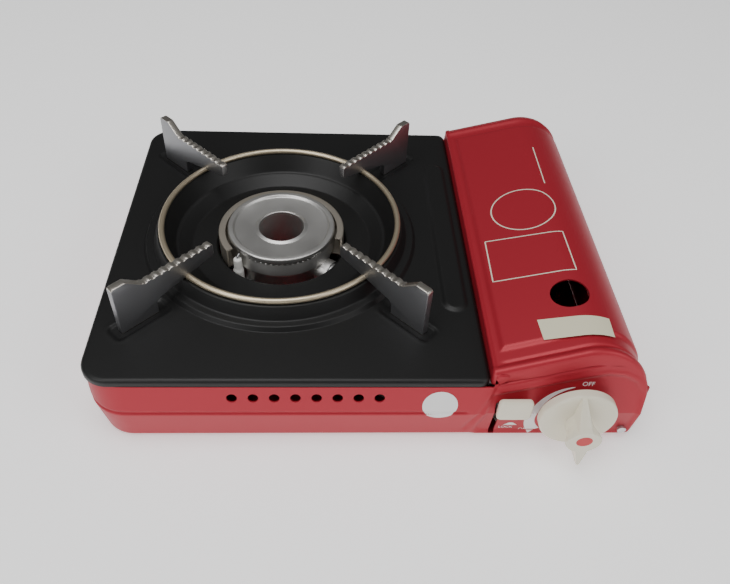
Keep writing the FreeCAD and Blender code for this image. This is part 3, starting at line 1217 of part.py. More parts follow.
def make_ignition_lead():
    """The insulated lead from the igniter to the electrode, along the tub's floor."""
    x, y = polar("Sizes.electrode_reach", "Sizes.electrode_angle")
    height = value("Sizes.lead_height")
    lead_y = value(f"{FRONT} + Sizes.lead_back")
    end_x = value(PIEZO_LEFT)
    end_y = value(f"{FRONT} + Sizes.lead_end_back")
    points = [
        FreeCAD.Vector(x, y, value("Sizes.burner_base - Sizes.lead_rise")),
        FreeCAD.Vector(x, y, value("Sizes.lead_height + Sizes.lead_rise")),
        FreeCAD.Vector(x + value("Sizes.lead_aside"), y - value("Sizes.lead_ahead"), height),
        FreeCAD.Vector(value(f"{DIVIDER_LEFT} - Sizes.lead_divider_run"), lead_y, height),
        FreeCAD.Vector(value(LEVER_X), lead_y, height),
        FreeCAD.Vector(end_x - value("Sizes.lead_end_run"), end_y, height),
        FreeCAD.Vector(end_x, end_y, height),
    ]
    bends = ("lead_drop_bend", "lead_bend", "lead_bend", "lead_turn", "lead_end_bend")
    radii = [value(f"Sizes.{bend}") for bend in bends]
    tube_along("ignition_lead", points, radii, value("Sizes.lead_radius"))


def make_regulator():
    """The regulator with its cover, its canister seat, its bracket and its screws."""
    body = new_body("regulator_body")

    def block(sk):
        rectangle(sk, REGULATOR_LEFT, f"{REGULATOR_LEFT} + Sizes.regulator_width", "Sizes.regulator_bottom", "Sizes.regulator_top",
                  "Sizes.regulator_corner")

    pad(body, "regulator_block", "XZ_Plane", block, REGULATOR_FRONT, REGULATOR_REAR)
    pad(body, "canister_collar", "XZ_Plane", lambda sk: circle(sk, KNOB_X, "Sizes.canister_axis", "Sizes.collar_radius"),
        f"{REGULATOR_REAR} - 1", f"{REGULATOR_REAR} + Sizes.collar_length")
    pocket(body, "seat_bore", "XZ_Plane", lambda sk: circle(sk, KNOB_X, "Sizes.canister_axis", "Sizes.collar_bore"),
           REGULATOR_REAR, f"{REGULATOR_REAR} + Sizes.collar_length + 1")
    pocket(body, "shaft_bore", "XZ_Plane",
           lambda sk: circle(sk, KNOB_X, "Sizes.knob_height", "Sizes.shaft_radius + Sizes.running_gap"),
           f"{REGULATOR_FRONT} - 1", f"{REGULATOR_FRONT} + Sizes.shaft_in_regulator + 2 * Sizes.sheet")
    bore = "(Sizes.regulator_screw_depth + Sizes.sheet)"
    pocket(body, "side_screw_bore", "YZ_Plane",
           lambda sk: circle(sk, SCREW_Y, SCREW_Z, "Sizes.screw_radius"),
           f"{REGULATOR_LEFT} - 1", f"{REGULATOR_LEFT} + {bore}")
    pocket(body, "far_screw_bore", "YZ_Plane",
           lambda sk: circle(sk, SCREW_Y, SCREW_Z, "Sizes.screw_radius"),
           f"{REGULATOR_LEFT} + Sizes.regulator_width - {bore}", f"{REGULATOR_LEFT} + Sizes.regulator_width + 1")

    cover = new_body("regulator_cover")
    place(cover, KNOB_X, f"{REGULATOR_FRONT} + Sizes.regulator_depth / 2", "Sizes.regulator_top")

    def cover_section(sk):
        outline(sk, [
            ("0", "0"),
            ("Sizes.cover_radius", "0"),
            ("Sizes.cover_radius", "Sizes.cover_flange"),
            ("Sizes.cover_radius - Sizes.cover_flange", "Sizes.cover_flange"),
            ("Sizes.cover_radius - Sizes.cover_flange - Sizes.cover_cone", "Sizes.cover_height"),
            ("0", "Sizes.cover_height"),
        ])

    turned("Revolution", cover, "cover_section", cover_section, "Z_Axis")

    seat_y = REGULATOR_REAR
    seat = new_body("canister_seat")
    place(seat, KNOB_X, seat_y, "Sizes.canister_axis")
    seal_start = "(Sizes.collar_length - Sizes.seal_thickness)"

    def turned_section(points):
        """An outline whose points are (distance along Y, radius)."""
        return lambda sk: outline(sk, [(p[1], p[0]) for p in points])

    nozzle_end = "Sizes.collar_length + Sizes.nozzle_length"
    turned("Revolution", seat, "seat_section", turned_section([
        ("0", "Sizes.seat_bore"),
        ("0", "Sizes.collar_bore"),
        (seal_start, "Sizes.collar_bore"),
        (seal_start, "Sizes.nozzle_radius"),
        (nozzle_end, "Sizes.nozzle_radius"),
        (nozzle_end, "Sizes.seat_bore"),
    ]), "Y_Axis", plane="XY_Plane")
    seal = new_body("seat_seal")
    place(seal, KNOB_X, seat_y, "Sizes.canister_axis")
    turned("Revolution", seal, "seal_section", turned_section([
        (seal_start, "Sizes.nozzle_radius"),
        (seal_start, "Sizes.collar_bore"),
        ("Sizes.collar_length", "Sizes.collar_bore"),
        ("Sizes.collar_length", "Sizes.nozzle_radius"),
    ]), "Y_Axis", plane="XY_Plane")

    left, right = REGULATOR_LEFT, f"({REGULATOR_LEFT} + Sizes.regulator_width)"
    thick = "Sizes.bracket_sheet"
    depth = (REGULATOR_FRONT, REGULATOR_REAR)
    plates = [
        box("regulator_base", (PIEZO_LEFT, f"{right} + {thick}"), (f"{FRONT} + Sizes.toe_in + 2 * Sizes.sheet", REGULATOR_REAR),
            (FLOOR_TOP, BRACKET_TOP)),
        box("regulator_left_leg", (f"{left} - {thick}", left), depth, (FLOOR_TOP, "Sizes.knob_height")),
        box("regulator_right_leg", (right, f"{right} + {thick}"), depth, (FLOOR_TOP, "Sizes.knob_height")),
    ]
    holes = [rod("regulator_screw_way", "X", f"{left} - 4", SCREW_Y, SCREW_Z, "Sizes.screw_radius", "Sizes.regulator_width + 8")]
    named(cut("regulator_bracket_cut", fuse("regulator_bracket_blank", plates), holes), "regulator_bracket")
    screws = []
    for name, shank_start, head_start in (
        ("left", f"{left} - {thick}", f"{left} - {thick} - Sizes.screw_head_height"),
        ("right", f"{right} - Sizes.regulator_screw_depth", f"{right} + {thick}"),
    ):
        shank = rod(f"{name}_regulator_shank", "X", shank_start, SCREW_Y, SCREW_Z, "Sizes.screw_radius",
                    f"Sizes.regulator_screw_depth + {thick}")
        head = rod(f"{name}_regulator_head", "X", head_start, SCREW_Y, SCREW_Z, "Sizes.screw_head",
                   "Sizes.screw_head_height")
        screws.append(fuse(f"{name}_regulator_screw", [shank, head]))
    group("regulator_screws", screws)


def make_small_inner_parts():
    """Burner screws, igniter, canister rest and rubber feet."""
    bx, by = "Sizes.burner_x", "Sizes.burner_y"
    screws = []
    for name, sign in (("left", "-"), ("right", "+")):
        x = f"{bx} {sign} Sizes.bracket_screw"
        low = "(Sizes.burner_base - Sizes.bracket_sheet)"
        head = rod(f"{name}_burner_head", "Z", x, by, f"{low} - Sizes.screw_head_height", "Sizes.screw_head",
                   "Sizes.screw_head_height")
        shank = rod(f"{name}_burner_shank", "Z", x, by, low, "Sizes.screw_radius", "Sizes.bracket_sheet")
        screws.append(fuse(f"{name}_burner_screw", [shank, head]))
    group("burner_screws", screws)

    piezo_front = f"({FRONT} + Sizes.toe_in + 2 * Sizes.sheet)"
    case = box("piezo_case", (PIEZO_LEFT, f"{PIEZO_LEFT} + Sizes.piezo_width"),
               (piezo_front, f"{piezo_front} + Sizes.piezo_depth"), (BRACKET_TOP, "Sizes.piezo_top"))
    plunger = rod("piezo_plunger", "Z", f"{PIEZO_LEFT} + Sizes.piezo_width - Sizes.plunger_inset",
                  f"{piezo_front} + Sizes.piezo_depth / 2", "Sizes.piezo_top", "Sizes.plunger_radius", "Sizes.plunger_height")
    named(fuse("piezo_whole", [case, plunger]), "piezo_igniter")

    rest = new_body("canister_rest")
    place(rest, REST_X, f"{FRONT} + Sizes.rest_back")

    def section(sk):
        outline(sk, [
            ("0", FLOOR_TOP),
            ("Sizes.rest_radius", FLOOR_TOP),
            ("Sizes.rest_radius", "Sizes.rest_height", "Sizes.rest_radius * 0.8"),
            ("0", "Sizes.rest_height"),
        ])

    turned("Revolution", rest, "rest_section", section, "Z_Axis")

    feet = []
    for name, back in (("front", "Sizes.foot_front"), ("rear", "Sizes.foot_rear")):
        for side_name, sign in (("left", "-"), ("right", "")):
            x, y = f"{sign}{FOOT_X}", f"{FRONT} + {back}"
            pad_low = rod(f"{name}_{side_name}_foot_pad", "Z", x, y, "0", "Sizes.foot_radius", "Sizes.foot_height")
            stem = rod(f"{name}_{side_name}_foot_stem", "Z", x, y, "0", "Sizes.foot_stem", FLOOR_TOP)
            feet.append(fuse(f"{name}_{side_name}_foot", [pad_low, stem]))
    group("rubber_feet", feet)


def make_knob():
    """The control knob, its shaft and the ignition cam on that shaft."""
    grip_depth = "(Sizes.knob_reach - Sizes.knob_start)"
    knob = new_body("knob")
    back_y = f"({FRONT} - Sizes.knob_start)"
    turn = (((1, 0, 0), 90), ((0, 0, 1), value("Sizes.knob_tilt")))
    place(knob, KNOB_X, back_y, "Sizes.knob_height", turn)
    wall = "Sizes.knob_shell"

    def dial(sk):
        outline(sk, [
            ("0", f"Sizes.knob_dial - {wall}"),
            (f"Sizes.knob_radius - {wall}", f"Sizes.knob_dial - {wall}"),
            (f"Sizes.knob_radius - {wall}", "0"),
            ("Sizes.knob_radius", "0"),
            ("Sizes.knob_radius", "Sizes.knob_dial", "1.2"),
            ("0", "Sizes.knob_dial"),
        ])

    turned("Revolution", knob, "dial", dial, "Z_Axis")

    def grip(sk):
        half, tip = "Sizes.grip_width / 2", "Sizes.grip_tip_width / 2"
        outline(sk, [
            (f"-{tip}", "-Sizes.grip_pointer"),
            (tip, "-Sizes.grip_pointer"),
            (f"3 * {tip}", "-Sizes.grip_pointer * 0.42", "2.5"),
            (half, "-Sizes.grip_width * 0.16", "5"),
            (f"{half} * 0.7", "Sizes.grip_face_top", "5"),
            (tip, "Sizes.grip_tail"),
            (f"-{tip}", "Sizes.grip_tail"),
            (f"-{half} * 0.7", "Sizes.grip_face_top", "5"),
            (f"-{half}", "-Sizes.grip_width * 0.16", "5"),
            (f"-3 * {tip}", "-Sizes.grip_pointer * 0.42", "2.5"),
        ])

    pad(knob, "grip", "XY_Plane", grip, f"Sizes.knob_dial - {wall} / 2", grip_depth)

    def tail_relief(sk):
        outline(sk, [
            ("Sizes.grip_face_top", f"{grip_depth} + 0.01"),
            ("Sizes.grip_tail + 0.01", "Sizes.knob_dial + 0.5"),
            ("Sizes.grip_tail + 5", "Sizes.knob_dial + 0.5"),
            ("Sizes.grip_tail + 5", f"{grip_depth} + 1"),
            ("Sizes.grip_face_top", f"{grip_depth} + 1"),
        ])

    pocket(knob, "tail_relief", "YZ_Plane", tail_relief, "-Sizes.grip_width", "Sizes.grip_width")
    pad(knob, "hub", "XY_Plane", lambda sk: circle(sk, "0", "0", "Sizes.knob_hub"), "0", f"Sizes.knob_dial - {wall} / 2")
    pocket(knob, "shaft_socket", "XY_Plane", lambda sk: circle(sk, "0", "0", "Sizes.shaft_radius"), "-1", "Sizes.shaft_in_knob + Sizes.sheet")

    shaft_end = f"({REGULATOR_FRONT} + Sizes.shaft_in_regulator)"
    shaft_start = f"({back_y} - Sizes.shaft_in_knob)"
    shaft = rod("knob_shaft_rod", "Y", KNOB_X, shaft_start, "Sizes.knob_height", "Sizes.shaft_radius", f"{shaft_end} - {shaft_start}")
    named(shaft, "knob_shaft")

    cam = new_body("ignition_cam")
    place(cam, KNOB_X, f"{FRONT} + Sizes.cam_back + Sizes.cam_thickness", "Sizes.knob_height",
          (((1, 0, 0), 90), ((0, 0, 1), value("Sizes.cam_turn"))))
    pad(cam, "cam_disc", "XY_Plane", lambda sk: circle(sk, "0", "0", "Sizes.cam_radius"), "0", "Sizes.cam_thickness")
    arm = "Sizes.cam_arm_width / 2"
    pad(cam, "cam_finger", "XY_Plane", lambda sk: outline(sk, [
        (f"-{arm}", "0"),
        (arm, "0"),
        (arm, "Sizes.cam_arm", "Sizes.cam_arm_width / 3"),
        (f"-{arm}", "Sizes.cam_arm", "Sizes.cam_arm_width / 3"),
    ]), "0", "Sizes.cam_thickness")
    pocket(cam, "cam_bore", "XY_Plane", lambda sk: circle(sk, "0", "0", "Sizes.shaft_radius"), "-1", "Sizes.cam_thickness + 1")


def make_lever():
    """The canister lever: plate, button, drive pin, pivot and the bracket that holds the pivot."""
    plate = new_body("lever_plate")
    tip = f"({FRONT} - Sizes.button_start - Sizes.lever_in_button)"
    upright = "(Sizes.lever_pivot_radius + Sizes.lever_eye_wall)"
    under = f"(Sizes.lever_pivot_height - {upright})"
    top = "Sizes.lever_pin_height + Sizes.lever_pin_wall"

    def side(sk):
        outline(sk, [
            (tip, "Sizes.lever_low"),
            (f"{LEVER_PIVOT_Y} - 2 * {upright}", "Sizes.lever_low", "Sizes.lever_round"),
            (f"{LEVER_PIVOT_Y} - {upright}", under, "Sizes.lever_round"),
            (f"{LEVER_PIVOT_Y} + {upright}", under, "Sizes.lever_round"),
            (f"{LEVER_PIVOT_Y} + {upright}", top, "Sizes.lever_round"),
            (f"{LEVER_PIVOT_Y} - {upright}", top, "Sizes.lever_round"),
            (f"{LEVER_PIVOT_Y} - {upright}", "Sizes.lever_high", "Sizes.lever_round"),
            (tip, "Sizes.lever_high"),
        ])

    pad(plate, "lever_side", "YZ_Plane", side, LEVER_LEFT, LEVER_RIGHT)
    around_plate = (f"{LEVER_LEFT} - 1", f"{LEVER_RIGHT} + 1")
    pocket(plate, "pivot_hole", "YZ_Plane",
           lambda sk: circle(sk, LEVER_PIVOT_Y, "Sizes.lever_pivot_height", "Sizes.lever_pivot_radius + Sizes.running_gap"), *around_plate)
    pocket(plate, "drive_hole", "YZ_Plane", lambda sk: circle(sk, LEVER_PIVOT_Y, "Sizes.lever_pin_height", "Sizes.lever_pin_radius"), *around_plate)

    button = new_body("lever_button")
    back = f"({FRONT} - Sizes.button_start)"
    block = pad(button, "button_block", "XZ_Plane", lambda sk: rectangle(
        sk, BUTTON_LEFT, f"{BUTTON_LEFT} + Sizes.button_width", "Sizes.button_low", "Sizes.button_high", "Sizes.button_radius"),
        f"{back} - Sizes.button_depth", back)
    front_y = value(f"{back} - Sizes.button_depth")
    round_edges(button, "button_edges", block, "Sizes.button_radius / 2", lambda edge: abs(edge.CenterOfMass.y - front_y) < 0.01)
    pocket(button, "button_slot", "XZ_Plane", lambda sk: rectangle(sk, LEVER_LEFT, LEVER_RIGHT, "Sizes.lever_low", "Sizes.lever_high"), tip, f"{back} + 1")

    pin = rod("drive_pin_rod", "X", LEVER_LEFT, LEVER_PIVOT_Y, "Sizes.lever_pin_height", "Sizes.lever_pin_radius",
              f"{PUSHER_LEFT} + 2 * Sizes.pusher_sheet - {LEVER_LEFT}")
    named(pin, "lever_drive_pin")

    post_left = f"({LEVER_RIGHT} + Sizes.bracket_sheet)"
    post_right = f"({post_left} + Sizes.bracket_sheet)"
    post_y = (f"{LEVER_PIVOT_Y} - Sizes.lever_post_width / 2", f"{LEVER_PIVOT_Y} + Sizes.lever_post_width / 2")
    plates = [
        box("lever_post", (post_left, post_right), post_y, (FLOOR_TOP, "Sizes.lever_high")),
        box("lever_post_foot", (f"{DIVIDER_LEFT} + Sizes.sheet", post_right), post_y, (FLOOR_TOP, BRACKET_TOP)),
    ]
    way = rod("lever_post_way", "X", f"{post_left} - 1", LEVER_PIVOT_Y, "Sizes.lever_pivot_height", "Sizes.lever_pivot_radius", "6")
    named(cut("lever_post_cut", fuse("lever_post_blank", plates), [way]), "lever_bracket")
    head_start = f"({LEVER_LEFT} - Sizes.free_gap - Sizes.pivot_head)"
    shank = rod("pivot_shank", "X", head_start, LEVER_PIVOT_Y, "Sizes.lever_pivot_height", "Sizes.lever_pivot_radius", f"{post_right} - {head_start}")
    head = rod("pivot_head", "X", head_start, LEVER_PIVOT_Y, "Sizes.lever_pivot_height",
               "Sizes.lever_pivot_radius + Sizes.pivot_head_rim", "Sizes.pivot_head")
    named(fuse("pivot_whole", [shank, head]), "lever_pivot_pin")


def make_pusher():
    """The slide that draws the canister on to its seat, and its two guides."""
    left, right = PUSHER_LEFT, f"({PUSHER_LEFT} + Sizes.pusher_width)"
    tab = "Sizes.pusher_tab_half"
    thick = "Sizes.pusher_sheet"
    top = f"({PUSHER_LOW} + {thick})"
    rear = f"({FRONT} + Sizes.pusher_rear)"
    plates = [
        box("pusher_strip", (left, right), (f"{LEVER_PIVOT_Y} - {tab}", rear), (PUSHER_LOW, top)),
        box("pusher_tab", (left, f"{left} + {thick}"), (f"{LEVER_PIVOT_Y} - {tab}", f"{LEVER_PIVOT_Y} + {tab}"),
            (PUSHER_LOW, f"Sizes.lever_pin_height + {tab}")),
        box("pusher_foot_arm", (left, f"{left} + Sizes.pusher_arm_width"), (f"{rear} - {thick}", rear), (PUSHER_LOW, "Sizes.pusher_arm_height")),
    ]
    slot_half = "(Sizes.lever_pin_radius + Sizes.free_gap)"
    slot = box("pusher_pin_slot", (f"{left} - 1", f"{left} + {thick} + 1"), (f"{LEVER_PIVOT_Y} - {slot_half}", f"{LEVER_PIVOT_Y} + {slot_half}"),
               (f"Sizes.lever_pin_height - {slot_half} - 1", f"Sizes.lever_pin_height + {slot_half}"))
    named(cut("pusher_cut", fuse("pusher_blank", plates), [slot]), "canister_pusher")
    guides = []
    gap = "Sizes.free_gap"
    for name, back in (("front", "Sizes.guide_front"), ("rear", "Sizes.guide_rear")):
        y = (f"{FRONT} + {back}", f"{FRONT} + {back} + Sizes.guide_length")
        arch = box(f"{name}_guide_arch", (f"{left} - {gap} - {thick}", f"{right} + {gap} + {thick}"), y, (FLOOR_TOP, f"{top} + {gap} + {thick}"))
        tunnel = box(f"{name}_guide_tunnel", (f"{left} - {gap}", f"{right} + {gap}"), (f"{y[0]} - 1", f"{y[1]} + 1"), (f"{FLOOR_TOP} - 1", f"{top} + {gap}"))
        guides.append(cut(f"{name}_guide", arch, [tunnel]))
    group("pusher_guides", guides)


make_body_pan()
make_top_plate()
make_lid()
make_hinge_pins()
make_divider()
make_canister_cradle()
make_support_ring()
for leg_label, leg_angle in (
    ("support_leg_rear_right", 45),
    ("support_leg_rear_left", 135),
    ("support_leg_front_left", 225),
    ("support_leg_front_right", 315),
):
    make_leg(leg_label, leg_angle)
make_burner()
make_gas_way()
make_burner_bracket()
make_flame_guard()
make_electrode()
make_ignition_lead()
make_regulator()
make_small_inner_parts()
make_knob()
make_lever()
make_pusher()
doc.recompute()

faults = [obj.Label for obj in doc.Objects if {"Invalid", "Error"} & set(obj.State)]
for part in sub_parts:
    shape = part.Shape
    if shape.isNull() or not shape.isValid() or not shape.Solids:
        faults.append(f"{part.Label} has no valid solid")
if faults:
    raise RuntimeError("Not built: " + ", ".join(faults))
for part in sub_parts:
    part.Shape.exportStep(f"parts/{part.Label}.step")
whole = Part.makeCompound([part.Shape for part in sub_parts]).BoundBox
print(f"{len(sub_parts)} nodes, box X {whole.XMin:.2f} {whole.XMax:.2f}, Y {whole.YMin:.2f} {whole.YMax:.2f}, Z {whole.ZMin:.2f} {whole.ZMax:.2f}")
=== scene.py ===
"""Visual model of a butane cassette stove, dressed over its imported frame.

Every length in the classes is in millimetres, in the frame's axes: X to the right, Y to the rear and Z up.
"""

import json
import logging
import math
from dataclasses import dataclass, field
from enum import Enum

import bmesh
import bpy
import numpy as np
from mathutils import Matrix, Vector

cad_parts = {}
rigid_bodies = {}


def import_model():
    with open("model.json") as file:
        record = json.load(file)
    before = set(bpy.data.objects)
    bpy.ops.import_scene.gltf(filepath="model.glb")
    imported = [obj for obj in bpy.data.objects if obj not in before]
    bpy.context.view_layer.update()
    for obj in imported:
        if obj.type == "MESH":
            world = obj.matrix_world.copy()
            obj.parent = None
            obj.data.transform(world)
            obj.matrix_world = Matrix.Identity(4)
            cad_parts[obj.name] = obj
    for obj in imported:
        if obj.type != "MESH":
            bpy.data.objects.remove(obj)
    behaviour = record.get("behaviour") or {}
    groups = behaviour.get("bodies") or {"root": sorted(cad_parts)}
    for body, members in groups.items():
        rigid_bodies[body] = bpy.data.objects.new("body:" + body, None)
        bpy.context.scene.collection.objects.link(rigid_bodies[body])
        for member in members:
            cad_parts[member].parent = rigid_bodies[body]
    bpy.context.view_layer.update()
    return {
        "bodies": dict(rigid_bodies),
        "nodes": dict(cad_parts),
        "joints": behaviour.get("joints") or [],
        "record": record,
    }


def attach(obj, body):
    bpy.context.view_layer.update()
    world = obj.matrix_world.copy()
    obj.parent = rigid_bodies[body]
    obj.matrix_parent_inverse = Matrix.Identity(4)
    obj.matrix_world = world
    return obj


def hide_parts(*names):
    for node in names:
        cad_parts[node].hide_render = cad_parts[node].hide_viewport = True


LOG = logging.getLogger("stove")
MM = 0.001

FRONT = -123.0
REAR = 147.0
HALF_WIDTH = 170.0
CREASE = 28.0
LEAN = 0.21
SLOPE = 0.27
LID_LEFT = 59.6
BAY = 73.5
RISE = math.sqrt(1 + SLOPE**2)


# Stands a flat (u, v) outline upright: u along X, v along Z and its own Z towards the front
UPRIGHT = Matrix(((1, 0, 0, 0), (0, 0, -1, 0), (0, 1, 0, 0), (0, 0, 0, 1)))
# Stands it along the side: u along Y, v along Z and its own Z to the right
SIDEWAYS = Matrix(((0, 0, 1, 0), (1, 0, 0, 0), (0, 1, 0, 0), (0, 0, 0, 1)))


class Body(Enum):
    """The moving groups that a piece can ride on."""

    BASE = "base"
    PAN_SUPPORT = "pan_support"
    KNOB = "control_knob"
    LEVER = "canister_lever"
    PUSHER = "pusher"
    LID = "lid"


def smooth(low: float, high: float, x: np.ndarray) -> np.ndarray:
    """Blends softly from 0 at low to 1 at high."""
    t = np.clip((np.asarray(x, float) - low) / (high - low), 0, 1)
    return t * t * (3 - 2 * t)


def front_at(z: np.ndarray | float) -> np.ndarray | float:
    """Where the leaning part of the front stands at a height."""
    return FRONT + LEAN * (z - CREASE)


def lid_height(x: np.ndarray | float) -> np.ndarray | float:
    """Height of the lid's sloping top."""
    return LID_LEFT + SLOPE * (x - BAY)


def rounded(points: list[tuple], steps: int = 6, closed: bool = False) -> np.ndarray:
    """Rounds the corners of a polyline.

    Args:
        points: (u, v) or (u, v, radius).
        steps: pieces that each corner is divided into.
        closed: whether the last point joins the first.

    Returns:
        The points of the rounded line, one row each.
    """
    count = len(points)
    out: list[np.ndarray] = []
    for i, point in enumerate(points):
        corner = np.array(point[:2], float)
        inside = closed or 0 < i < count - 1
        if len(point) < 3 or not inside or point[2] <= 0:
            out.append(corner)
            continue
        before = np.array(points[i - 1][:2], float) - corner
        after = np.array(points[(i + 1) % count][:2], float) - corner
        before /= np.linalg.norm(before)
        after /= np.linalg.norm(after)
        half = math.acos(float(np.clip(before @ after, -1, 1))) / 2
        if half > 1.55:
            out.append(corner)
            continue
        reach = point[2] / math.tan(half)
        middle = corner + (before + after) / np.linalg.norm(before + after) * point[2] / math.sin(half)
        start, end = corner + before * reach - middle, corner + after * reach - middle
        first = math.atan2(start[1], start[0])
        turn = (math.atan2(end[1], end[0]) - first + math.pi) % (2 * math.pi) - math.pi
        for k in range(steps + 1):
            angle = first + turn * k / steps
            out.append(middle + point[2] * np.array([math.cos(angle), math.sin(angle)]))
    return np.array(out)


def around(centre: tuple[float, float], radius: float, count: int, second: float | None = None) -> np.ndarray:
    """Points round a circle, or round an oval whose half height is given too."""
    rise = radius if second is None else second
    turns = np.linspace(0, 2 * math.pi, count, endpoint=False)
    return np.array([(centre[0] + radius * math.cos(t), centre[1] + rise * math.sin(t)) for t in turns])


def divided(points: np.ndarray, step: float) -> np.ndarray:
    """Adds points on a polyline so that no piece is longer than a step."""
    out = [points[0]]
    for a, b in zip(points, points[1:]):
        parts = max(1, int(math.ceil(float(np.linalg.norm(b - a)) / step)))
        out.extend(a + (b - a) * k / parts for k in range(1, parts + 1))
    return np.array(out)


def line_distance(u: np.ndarray, v: np.ndarray, line: np.ndarray) -> np.ndarray:
    """Distance from each (u, v) to a polyline."""
    best = np.full(np.shape(u), 1e9)
    for a, b in zip(line, line[1:]):
        along = b - a
        t = np.clip(((u - a[0]) * along[0] + (v - a[1]) * along[1]) / (along @ along), 0, 1)
        best = np.minimum(best, np.hypot(u - a[0] - t * along[0], v - a[1] - t * along[1]))
    return best


def inside_line(u: np.ndarray, v: np.ndarray, line: np.ndarray) -> np.ndarray:
    """Whether each (u, v) is inside a closed polyline."""
    found = np.zeros(np.shape(u), bool)
    for a, b in zip(line, np.roll(line, -1, axis=0)):
        crosses = (a[1] > v) != (b[1] > v)
        with np.errstate(divide="ignore", invalid="ignore"):
            at = (b[0] - a[0]) * (v - a[1]) / (b[1] - a[1]) + a[0]
        found ^= crosses & (u < at)
    return found


def mark_sharp(mesh: bpy.types.Mesh, degrees: float) -> None:
    """Shades a mesh smooth, apart from edges that bend by more than an angle."""
    data = bmesh.new()
    data.from_mesh(mesh)
    bmesh.ops.remove_doubles(data, verts=data.verts, dist=1e-7)
    bmesh.ops.recalc_face_normals(data, faces=data.faces)
    limit = math.radians(degrees)
    for face in data.faces:
        face.smooth = True
    for edge in data.edges:
        if len(edge.link_faces) == 2:
            edge.smooth = edge.calc_face_angle(0.0) < limit
    data.to_mesh(mesh)
    data.free()


def mesh_object(name: str, vertices: np.ndarray, faces: list, sharp: float = 40) -> bpy.types.Object:
    """Makes an object from vertices in millimetres.

    Args:
        name: the object's name.
        vertices: one row of x, y and z for each vertex.
        faces: tuples of vertex numbers.
        sharp: the bend in degrees above which an edge is shaded sharp.

    Returns:
        The object, linked to the scene.
    """
    mesh = bpy.data.meshes.new(name)
    mesh.from_pydata((np.asarray(vertices, float) * MM).tolist(), [], faces)
    mark_sharp(mesh, sharp)
    obj = bpy.data.objects.new(name, mesh)
    bpy.context.scene.collection.objects.link(obj)
    return obj


def grid_faces(rows: int, columns: int, wrap: bool = False, first: int = 0) -> list[tuple]:
    """Quads of a grid whose vertices are numbered row by row."""
    faces = []
    for i in range(rows - 1):
        for j in range(columns if wrap else columns - 1):
            k = (j + 1) % columns
            row, following = first + i * columns, first + (i + 1) * columns
            faces.append((row + j, row + k, following + k, following + j))
    return faces


def grid_object(name: str, grid: np.ndarray, wrap: bool = False, sharp: float = 40) -> bpy.types.Object:
    """Makes a sheet from a grid of points with the shape (rows, columns, 3)."""
    rows, columns = grid.shape[:2]
    return mesh_object(name, grid.reshape(-1, 3), grid_faces(rows, columns, wrap), sharp)


def lathe(
    name: str,
    profile: np.ndarray,
    centre: tuple[float, float],
    segments: int = 192,
    start: float = 0,
    sweep: float = 360,
    closed: bool = True,
    sharp: float = 40,
) -> bpy.types.Object:
    """Turns a profile of (radius, height) about an upright axis.

    Args:
        name: the object's name.
        profile: the section's points.
        centre: the axis's x and y.
        segments: steps round the axis.
        start: where the sweep starts, in degrees.
        sweep: how far it goes.
        closed: whether the profile's last point joins its first.
        sharp: the bend in degrees above which an edge is shaded sharp.

    Returns:
        The turned object.
    """
    full = sweep >= 360
    angles = np.radians(start + sweep * np.arange(segments if full else segments + 1) / segments)
    loop = np.vstack([profile, profile[:1]]) if closed else profile
    r, z = loop[:, :1], loop[:, 1:]
    grid = np.stack([centre[0] + r * np.cos(angles), centre[1] + r * np.sin(angles), z + 0 * angles], axis=-1)
    rows, columns = grid.shape[:2]
    faces = grid_faces(rows, columns, full)
    if closed and not full:
        faces.append(tuple(i * columns for i in range(rows - 1)))
        faces.append(tuple(i * columns + columns - 1 for i in reversed(range(rows - 1))))
    return mesh_object(name, grid.reshape(-1, 3), faces, sharp)


def apply_modifiers(obj: bpy.types.Object, sharp: float = 40) -> bpy.types.Object:
    """Replaces an object's mesh by what its modifiers make of it."""
    bpy.context.view_layer.update()
    graph = bpy.context.evaluated_depsgraph_get()
    mesh = bpy.data.meshes.new_from_object(obj.evaluated_get(graph))
    obj.modifiers.clear()
    obj.data = mesh
    mark_sharp(mesh, sharp)
    return obj


def carve(obj: bpy.types.Object, cutters: list[bpy.types.Object], sharp: float = 40) -> bpy.types.Object:
    """Cuts solids out of an object and deletes them."""
    for cutter in cutters:
        boolean = obj.modifiers.new(cutter.name, "BOOLEAN")
        boolean.operation = "DIFFERENCE"
        boolean.solver = "EXACT"
        boolean.object = cutter
    apply_modifiers(obj, sharp)
    for cutter in cutters:
        bpy.data.objects.remove(cutter)
    return obj


def thicken(obj: bpy.types.Object, thickness: float, sharp: float = 40) -> bpy.types.Object:
    """Gives a sheet its thickness, behind its face."""
    solid = obj.modifiers.new("thickness", "SOLIDIFY")
    solid.thickness = thickness * MM
    solid.offset = -1
    solid.use_even_offset = False
    sheet = apply_modifiers(obj, sharp)
    for vertex in sheet.data.vertices:
        vertex.co.x = min(vertex.co.x, HALF_WIDTH * MM)
    return sheet


def cylinder(name: str, start: tuple, end: tuple, radius: float, segments: int = 48) -> bpy.types.Object:
    """A plain round cutter or pin between two points."""
    a, b = Vector(start), Vector(end)
    turn = (b - a).to_track_quat("Z", "Y").to_matrix()
    turns = np.linspace(0, 2 * math.pi, segments, endpoint=False)
    ring = [Vector((math.cos(t), math.sin(t), 0)) * radius for t in turns]
    points = [turn @ p + a for p in ring] + [turn @ p + b for p in ring]
    ends = [tuple(reversed(range(segments))), tuple(range(segments, 2 * segments))]
    faces = grid_faces(2, segments, True) + ends
    return mesh_object(name, np.array([tuple(p) for p in points]), faces)


